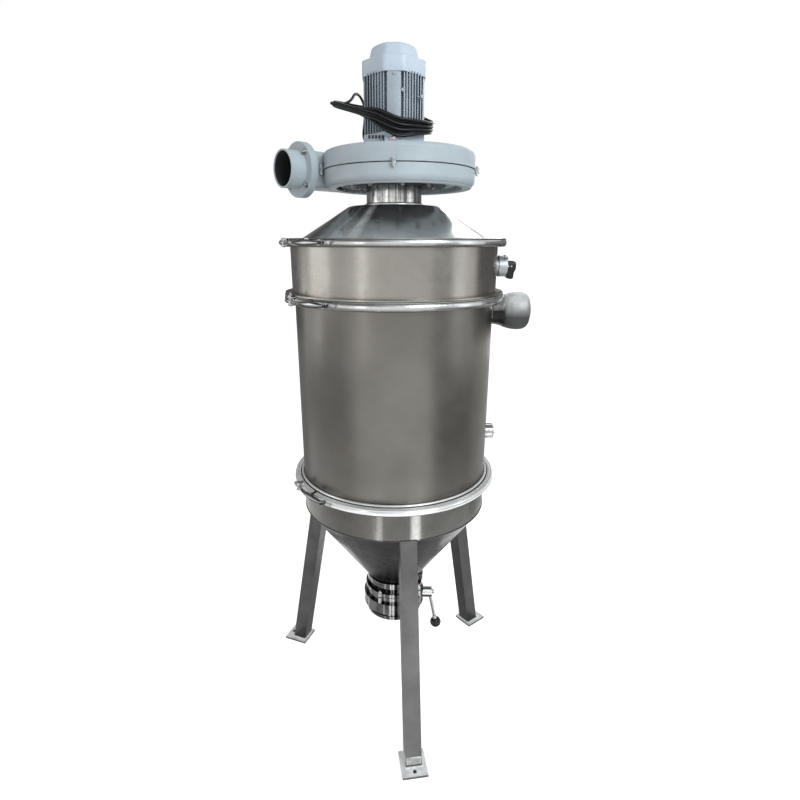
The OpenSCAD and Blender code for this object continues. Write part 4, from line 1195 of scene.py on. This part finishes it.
def makeValveFittings(settings):
    shells, heads, feet = [], [], []
    for angle in settings["lugAngles"]:
        spot = polar(settings["lugRadius"], angle)
        for low, high in ((settings["split"][1], settings["high"]), (settings["low"], settings["split"][0])):
            shells.append(lathe(stub(0.008, low, high, 0.0008), shift(*spot), 24))
        shells.append(lathe(tube(0, 0.003, 0.365, 0.378), shift(*spot), 16))
        heads.append((spot + Vector((0, 0, settings["high"])), (0, 0, 1)))
        feet.append((polar(settings["screwRadius"], angle + settings["screwTurn"], settings["screwZ"]),
                     (0, 0, -1)))
    vesselPiece("valve_lugs", shells, "brightSteel")
    bolts("valve_bolts", heads, 0.01, 0.0062, washer=(0.0072, 0.001), stud=(0.003, 0.003), seed=3)
    bolts("valve_screws", feet, 0.008, 0.005, washer=(0.0052, 0.0008), seed=6)
    bolts("valve_hub_bolt", [(Vector((settings["hubEnd"], 0, settings["stem"])), (1, 0, 0))], 0.013, 0.007,
          washer=(0.0095, 0.0015), body="outlet_flap", seed=8)
    root = Vector(settings["rodRoot"])
    reach = Vector(settings["knob"]) - root
    length, down = reach.length, facing(reach.normalized(), root)
    hub = lathe(stub(*settings["hub"]), facing((1, 0, 0), (0, 0, settings["stem"])), 48)
    rod = lathe(tube(0, 0.0045, 0.008, length - 0.012), down, 24)
    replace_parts(give(meshPiece("lever_and_hub", [hub, rod]), "outlet_flap", "leverSteel"),
                "valve_lever")
    ferrule = lathe([(0.0044, length - 0.0285), (0.0066, length - 0.0285), (0.0072, length - 0.0275),
                     (0.0072, length - 0.0215), (0.0085, length - 0.0175), (0.0044, length - 0.0175)], down,
                    32, True)
    collar = lathe([(0.0044, 0.0135), (0.0068, 0.0135), (0.0074, 0.0145), (0.0074, 0.0195), (0.0062, 0.0205),
                    (0.0044, 0.0205)],
                   down, 32, True)
    sleeve = lathe(tube(0.0042, 0.0058, 0.0203, length - 0.028), down, 24, True)
    give(meshPiece("lever_collars", [ferrule, collar, sleeve]), "outlet_flap", "brightSteel")


makeValveFittings(valveSettings)

# Pulse valve and its coil, the inlet's cap and neck, the side port's plug

pulseSettings = {
    "face": 0.339, "z": 1.489, "portEnd": 0.328, "portZ": 0.959, "capZ": 1.355,
    "coil": [(0.3383, 1.461), (0.3415, 1.4555), (0.3465, 1.452), (0.354, 1.452), (0.3575, 1.4537),
             (0.359, 1.4575), (0.3597, 1.4695), (0.362, 1.475), (0.3647, 1.4795), (0.3655, 1.4845),
             (0.3655, 1.4945), (0.3637, 1.5005), (0.359, 1.504), (0.3525, 1.5045), (0.3425, 1.5045),
             (0.3395, 1.503), (0.3383, 1.4995)],
    "pear": [(0, 0.334), (0.046, 0.334), (0.0482, 0.336), (0.0512, 0.3445), (0.0542, 0.355), (0.0562, 0.366),
             (0.0573, 0.379), (0.057, 0.3895), (0.0553, 0.3985), (0.051, 0.4068), (0.0441, 0.4126),
             (0.0334, 0.4162), (0.0196, 0.4178), (0, 0.4178)],
    "flare": [(0.0365, 0.3), (0.0395, 0.3), (0.0405, 0.306), (0.0418, 0.315), (0.0442, 0.325),
              (0.0478, 0.3352), (0.046, 0.337), (0.0365, 0.337)]}


def makePulseFittings(settings):
    spots = [(Vector((settings["face"], y, settings["z"] + z)), (1, 0, 0))
             for y, z in ((-0.0268, 0), (0.0268, 0), (-0.012, 0.0245), (0.012, 0.0245))]
    bolts("pulse_valve_screws", spots, 0.0055, 0.0035, washer=(0.0038, 0.0005), sides=16)
    spots = [(Vector((0.3325, y, 1.5205 - abs(y) * 0.4)), (0.3, y * 8, 1)) for y in (-0.021, -0.006, 0.009)]
    bolts("valve_cover_bolts", spots, 0.006, 0.003, washer=(0.004, 0.0006))
    bolts("coil_screw", [(Vector((0.351, -0.023, 1.489)), (0, -1, 0))], 0.0036, 0.0012,
          washer=(0.0024, 0.0003), sides=16)
    upright = Matrix(((1, 0, 0), (0, 0, -1), (0, 1, 0))).to_4x4()
    coil = vesselPiece("pulse_coil_body", [slab(settings["coil"], -0.023, 0.023, upright, 0.0028)],
                       "blackPlastic", 40)
    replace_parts(coil, "pulse_valve_coil")
    socket = slab(roundedBox(0.016, 0.022, 0.003), 0.0, 0.0028, facing((0, -1, 0), (0.3475, -0.0225, 1.4675)),
                  0.0008)
    vesselPiece("coil_socket", [socket], "blackPlastic")
    inlet = facing((1, 0, 0), (0, 0, settings["capZ"]))
    wrap = vesselPiece("inlet_cap_wrap", [lathe(settings["pear"], inlet, 96)], "filmWrap", 50)
    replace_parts(wrap, "inlet_cap")
    vesselPiece("inlet_cap_neck", [lathe(settings["flare"], inlet, 72, True)], "neckShade",
                50)
    port = (settings["portEnd"], 0, settings["portZ"])
    plug = lathe([(0, 0.0002), (0.0165, 0.0002), (0.0175, 0.0012), (0.0175, -0.003), (0, -0.003)],
                 facing((1, 0, 0), port), 40)
    vesselPiece("side_port_plug", [plug], "gasketRubber")
    bolts("side_port_square", [(Vector(port), (1, 0, 0))], 0.016, 0.0075, washer=(0.0145, 0.0016), sides=4)


makePulseFittings(pulseSettings)
print("valve fittings made")

# Welds: on the legs and their feet, round the cone's top and the neck, up the sheets

drumSettings = {"skin": 0.3002, "joints": (0.833, 1.402), "legAngles": (-81.8, 38.2, 158.2), "legHalf": 0.025,
                "footRadius": 0.407, "footHalf": 0.0262, "coneBottom": (0.424, 0.088),
                "coneTop": (0.723, 0.3), "seamAngle": 97}


def legLine(settings, angle):
    # Where a leg meets the cone: up one side, across its top, down the other side
    (lowZ, lowR), (highZ, highR) = settings["coneBottom"], settings["coneTop"]
    half, side = settings["legHalf"], []
    for i in range(8):
        z = highZ - 0.056 * (1 - i / 7)
        r = lowR + (highR - lowR) * (z - lowZ) / (highZ - lowZ)
        side.append(Vector((math.sqrt(r * r - half ** 2) + 0.001, half, z)))
    across = [Vector((math.sqrt(highR ** 2 - y * y) + 0.001, y, highZ + 0.0008))
              for y in (0.0185, 0.009, 0, -0.009, -0.0185)]
    other = [Vector((p.x, -p.y, p.z)) for p in reversed(side)]
    return [turn(angle, "Z", 3) @ p for p in side + across + other]


def makeWelds(settings):
    low, middle = settings["joints"]
    welds("leg_welds", [(legLine(settings, a), False) for a in settings["legAngles"]], 0.0018, 0.003, 0.16)
    foot, half = settings["footRadius"], settings["footHalf"]
    feet = [([turn(angle, "Z", 3) @ Vector((foot + sx * half, sy * half, 0.0088))
              for sx, sy in ((-1, -1), (1, -1), (1, 1), (-1, 1))],
             True) for angle in settings["legAngles"]]
    welds("foot_welds", feet, 0.003, 0.0034, 0.16, seed=5, finish="ringSteel")
    welds("cone_seam", [(arcLine(settings["skin"], 0.723, 160), True)], 0.0016, 0.003, 0.06, seed=7,
          finish="hopperSheet")
    seam = settings["seamAngle"]
    upright = [[polar(r, seam, start + rise * i / count) for i in range(count + 1)]
               for r, start, rise, count in
               ((settings["skin"], low + 0.022, 0.525, 40), (0.3062, middle + 0.02, 0.118, 12),
                (settings["skin"], 0.726, 0.085, 10))]
    cone = [polar(0.088 + 0.212 * i / 24, seam, 0.424 + 0.299 * i / 24) for i in range(2, 25)]
    welds("sheet_seams", [(line, False) for line in upright + [cone]], 0.0013, 0.0028, 0.1, seed=9)
    welds("neck_welds", [(arcLine(0.0808, 1.6635, 72), True)], 0.0014, 0.0026, 0.12, seed=13)


makeWelds(drumSettings)

# Feet: ground bright round the weld, and the shade in the anchor holes
footSettings = {"angles": (-81.8, 38.2, 158.2), "ground": (-81.8,), "radius": 0.4070, "tilt": 10.46,
                "anchor": 0.4480,
                "half": 0.0253, "low": 0.0035, "high": 0.029}


def makeFeet(settings):
    shoes, shades = [], []
    for angle in settings["angles"]:
        leg = turn(angle) @ shift(settings["radius"], 0, 0.008) @ turn(-settings["tilt"], "Y")
        if angle in settings["ground"]:
            outline = roundedBox(settings["half"] * 2, settings["half"] * 2, 0.0035, 4)
            shoes.append(slab(outline, settings["low"], settings["high"], leg, 0.0004))
        shades.append(lathe(tube(0, 0.0058, 0.0003, 0.0011), turn(angle) @ shift(settings["anchor"], 0, 0),
                            32))
    vesselPiece("leg_weld_zone", shoes, "shoeSteel")
    vesselPiece("anchor_hole_shade", shades, "shadeBlack")


makeFeet(footSettings)
print("welds made")

# Tie round the cable's coil, at the back

tieSettings = {"width": 0.012, "thickness": 0.0011, "reach": (0.0095, 0.0245), "place": (-0.005, 0.107, 0)}


def makeTie(settings):
    outline = roundedBox(settings["reach"][0] * 2 + 0.004, settings["reach"][1] * 2, 0.007, 6)
    middle = coilPlace @ shift(*settings["place"]) @ turn(90, "Y") @ turn(90)
    points = []
    for share, edge in ((0, -1), (0, 1), (1, 1), (1, -1)):
        for x, y in outline:
            out = Vector((x, y, 0)).normalized() * settings["thickness"] * share
            points.append(middle @ (Vector((x, y, edge * settings["width"] / 2)) + out))
    vesselPiece("cable_tie", [(points, bridge(4, len(outline), True))], "blackPlastic")


makeTie(tieSettings)
print("tie made")


# Studio: pale floor, white surroundings, soft lamps and cards

def seenRays(tree):
    # Whether a ray comes straight from the camera, and whether it does, is a reflection or went through glass
    path = addNode(tree, "LightPath")
    view, glossy, passing = (path[f"Is {kind} Ray"] for kind in ("Camera", "Glossy", "Transmission"))
    return view, view.calc("MAXIMUM", glossy.calc("MAXIMUM", passing))


studioSettings = {
    "fill": (0.97, 0.985, 1.0, 1), "fillPower": 0.63, "floor": (0.8, 0.8, 0.8, 1), "floorGlow": 0.64,
    "floorRings": (0, 0.5, 2, 14, 80), "pale": ((1.0, 1.0, 1.0), (0.5, 0.5, 0.5)),
    "roof": ((0.13, 0.137, 0.14), (0.58, 0.6, 0.62)), "roofFrom": (0.3, 0.62),
    # Directions across which the surroundings change, each with where the change starts and ends
    "paleAcross": ((-0.75, 0.66, 0.0), -0.2, 0.9), "roofAcross": ((1.0, 0.1, 0.0), -0.36, -0.04),
}


def makeStudio(settings):
    world = bpy.data.worlds.new("studio")
    bpy.context.scene.world = world
    world.use_nodes = True
    tree = world.node_tree
    tree.nodes.clear()
    camera, seen = seenRays(tree)
    way = addNode(tree, "TexCoord")["Generated"]
    high = mapRange(addNode(tree, "SeparateXYZ", {0: way})[2], *settings["roofFrom"])
    tones = []
    for part in ("pale", "roof"):
        direction, start, end = settings[part + "Across"]
        across = mapRange(vectorMath(way, direction, "DOT_PRODUCT")["Value"], start, end)
        tones.append(mixColour(across, *settings[part]))
    show = mixColour(camera, mixColour(high, *tones), (1, 1, 1))
    backdrop = addNode(tree, "Background", {"Color": show, "Strength": 1.0})[0]
    fill = addNode(tree, "Background", {"Color": settings["fill"], "Strength": settings["fillPower"]})[0]
    addNode(tree, "OutputWorld", {"Surface": addNode(tree, "MixShader", {0: seen, 1: fill, 2: backdrop})[0]})

    floorMaterial, tree = newMaterial("pale floor")
    tree.nodes.clear()
    matt = addNode(tree, "BsdfDiffuse", {"Color": settings["floor"]})[0]
    shine = seenRays(tree)[1] * settings["floorGlow"]
    glow = addNode(tree, "Emission", {"Color": (1, 1, 1, 1), "Strength": shine})[0]
    addNode(tree, "OutputMaterial", {"Surface": addNode(tree, "AddShader", {0: matt, 1: glow})[0]})
    points, faces = lathe([(radius, 0) for radius in settings["floorRings"]], steps=64)
    mesh = bpy.data.meshes.new("floor")
    mesh.from_pydata([tuple(p) for p in points], [], faces)
    floor = addObject("floor", mesh)
    mesh.materials.append(floorMaterial)


lampSettings = {
    "leftStrip": {"place": (-1.4, -0.17, 1.55), "size": (0.35, 1.1), "power": 1.45},
    "frontStrip": {"place": (-0.87, -1.5, 1.5), "size": (0.22, 1.0), "power": 1.0},
    "rightStrip": {"place": (1.43, -0.6, 1.6), "size": (0.38, 1.1), "power": 0.9, "colour": (0.9, 0.96, 1.0)},
    "overhead": {"place": (1.5, -2.3, 2.9), "size": (1.6, 1.2), "power": 58, "colour": (0.88, 0.96, 1.0),
                 "target": (0, 0, 1.3)},
    "backRight": {"place": (0.75, 1.4, 2.45), "size": (1.0, 0.9), "power": 7, "target": (0.17, -0.13, 1.6)},
}
# Each card: its arc round the drum, its radius, its heights, its brightness,
# and its inner radius where it lies flat
cardSettings = {
    "backRight": ((-4, 84), 1.05, (1.14, 1.85), 0.16),
    "backLeft": ((112, 160), 1.1, (1.15, 1.9), 0.16),
    "backLow": ((112, 158), 1.1, (0.3, 1.15), 0.3),
    "upperLeft": ((184, 208), 1.25, (1.34, 1.95), 2.2),
    "lidLeft": ((95, 150), 2.2, (2.0, 3.2), 0.06),
    "footLeft": ((158, 230), 1.2, (0.3, 0.66), 0.85),
    "underneath": ((-179.9, 179.9), 0.44, (0.013, 0.013), 0.52, 0.02),
    "lowLeft": ((158, 230), 1.2, (0.66, 1.02), 0.55),
    "midLeft": ((190, 222), 1.2, (1.02, 1.3), 0.7),
    "lowRight": ((310, 366), 1.2, (0.34, 1.02), 0.4),
    "footRight": ((6, 60), 1.1, (0.2, 1.02), 0.62),
    "midRight": ((306, 328), 1.2, (1.02, 1.9), 0.66),
    "rimLeft": ((251.8, 254.4), 1.12, (0.0, 0.32), 9.0),
    "rimRight": ((294.5, 298.5), 1.12, (0.0, 0.32), 10.0),
}


def makeCards(settings):
    # Cards that only the reflections see, so that the sheet's edges read
    for name, (arc, radius, (low, high), tone, *inner) in settings.items():
        line = arcLine(radius, low, 16, arc)
        scale = (inner or [radius])[0] / radius
        points = line + [Vector((p.x * scale, p.y * scale, high)) for p in line]
        mesh = bpy.data.meshes.new(name)
        count = len(line)
        mesh.from_pydata([tuple(p) for p in points], [],
                         [[i, i + 1, i + count + 1, i + count] for i in range(count - 1)])
        material, tree = newMaterial(name)
        tree.nodes.clear()
        glow = addNode(tree, "Emission", {"Color": (1, 1, 1, 1), "Strength": tone})[0]
        addNode(tree, "OutputMaterial", {"Surface": glow})
        mesh.materials.append(material)
        board = addObject(name, mesh)
        board.visible_camera = board.visible_diffuse = board.visible_shadow = False


def makeLamps(settings):
    for name, lamp in settings.items():
        data = bpy.data.lights.new(name, "AREA")
        data.shape = "RECTANGLE"
        data.size, data.size_y = lamp["size"]
        data.energy = lamp["power"]
        data.color = lamp.get("colour", (1, 1, 1))
        rig = addObject(name, data)
        rig.location = lamp["place"]
        aim = Vector(lamp["place"]) - Vector(lamp.get("target", (0, 0, 1.2)))
        rig.rotation_euler = aim.to_track_quat("Z", "Y").to_euler()
        rig.visible_camera = False


makeStudio(studioSettings)
makeLamps(lampSettings)
makeCards(cardSettings)
bpy.context.scene.view_settings.view_transform = "Standard"
print("studio made")

print("done")
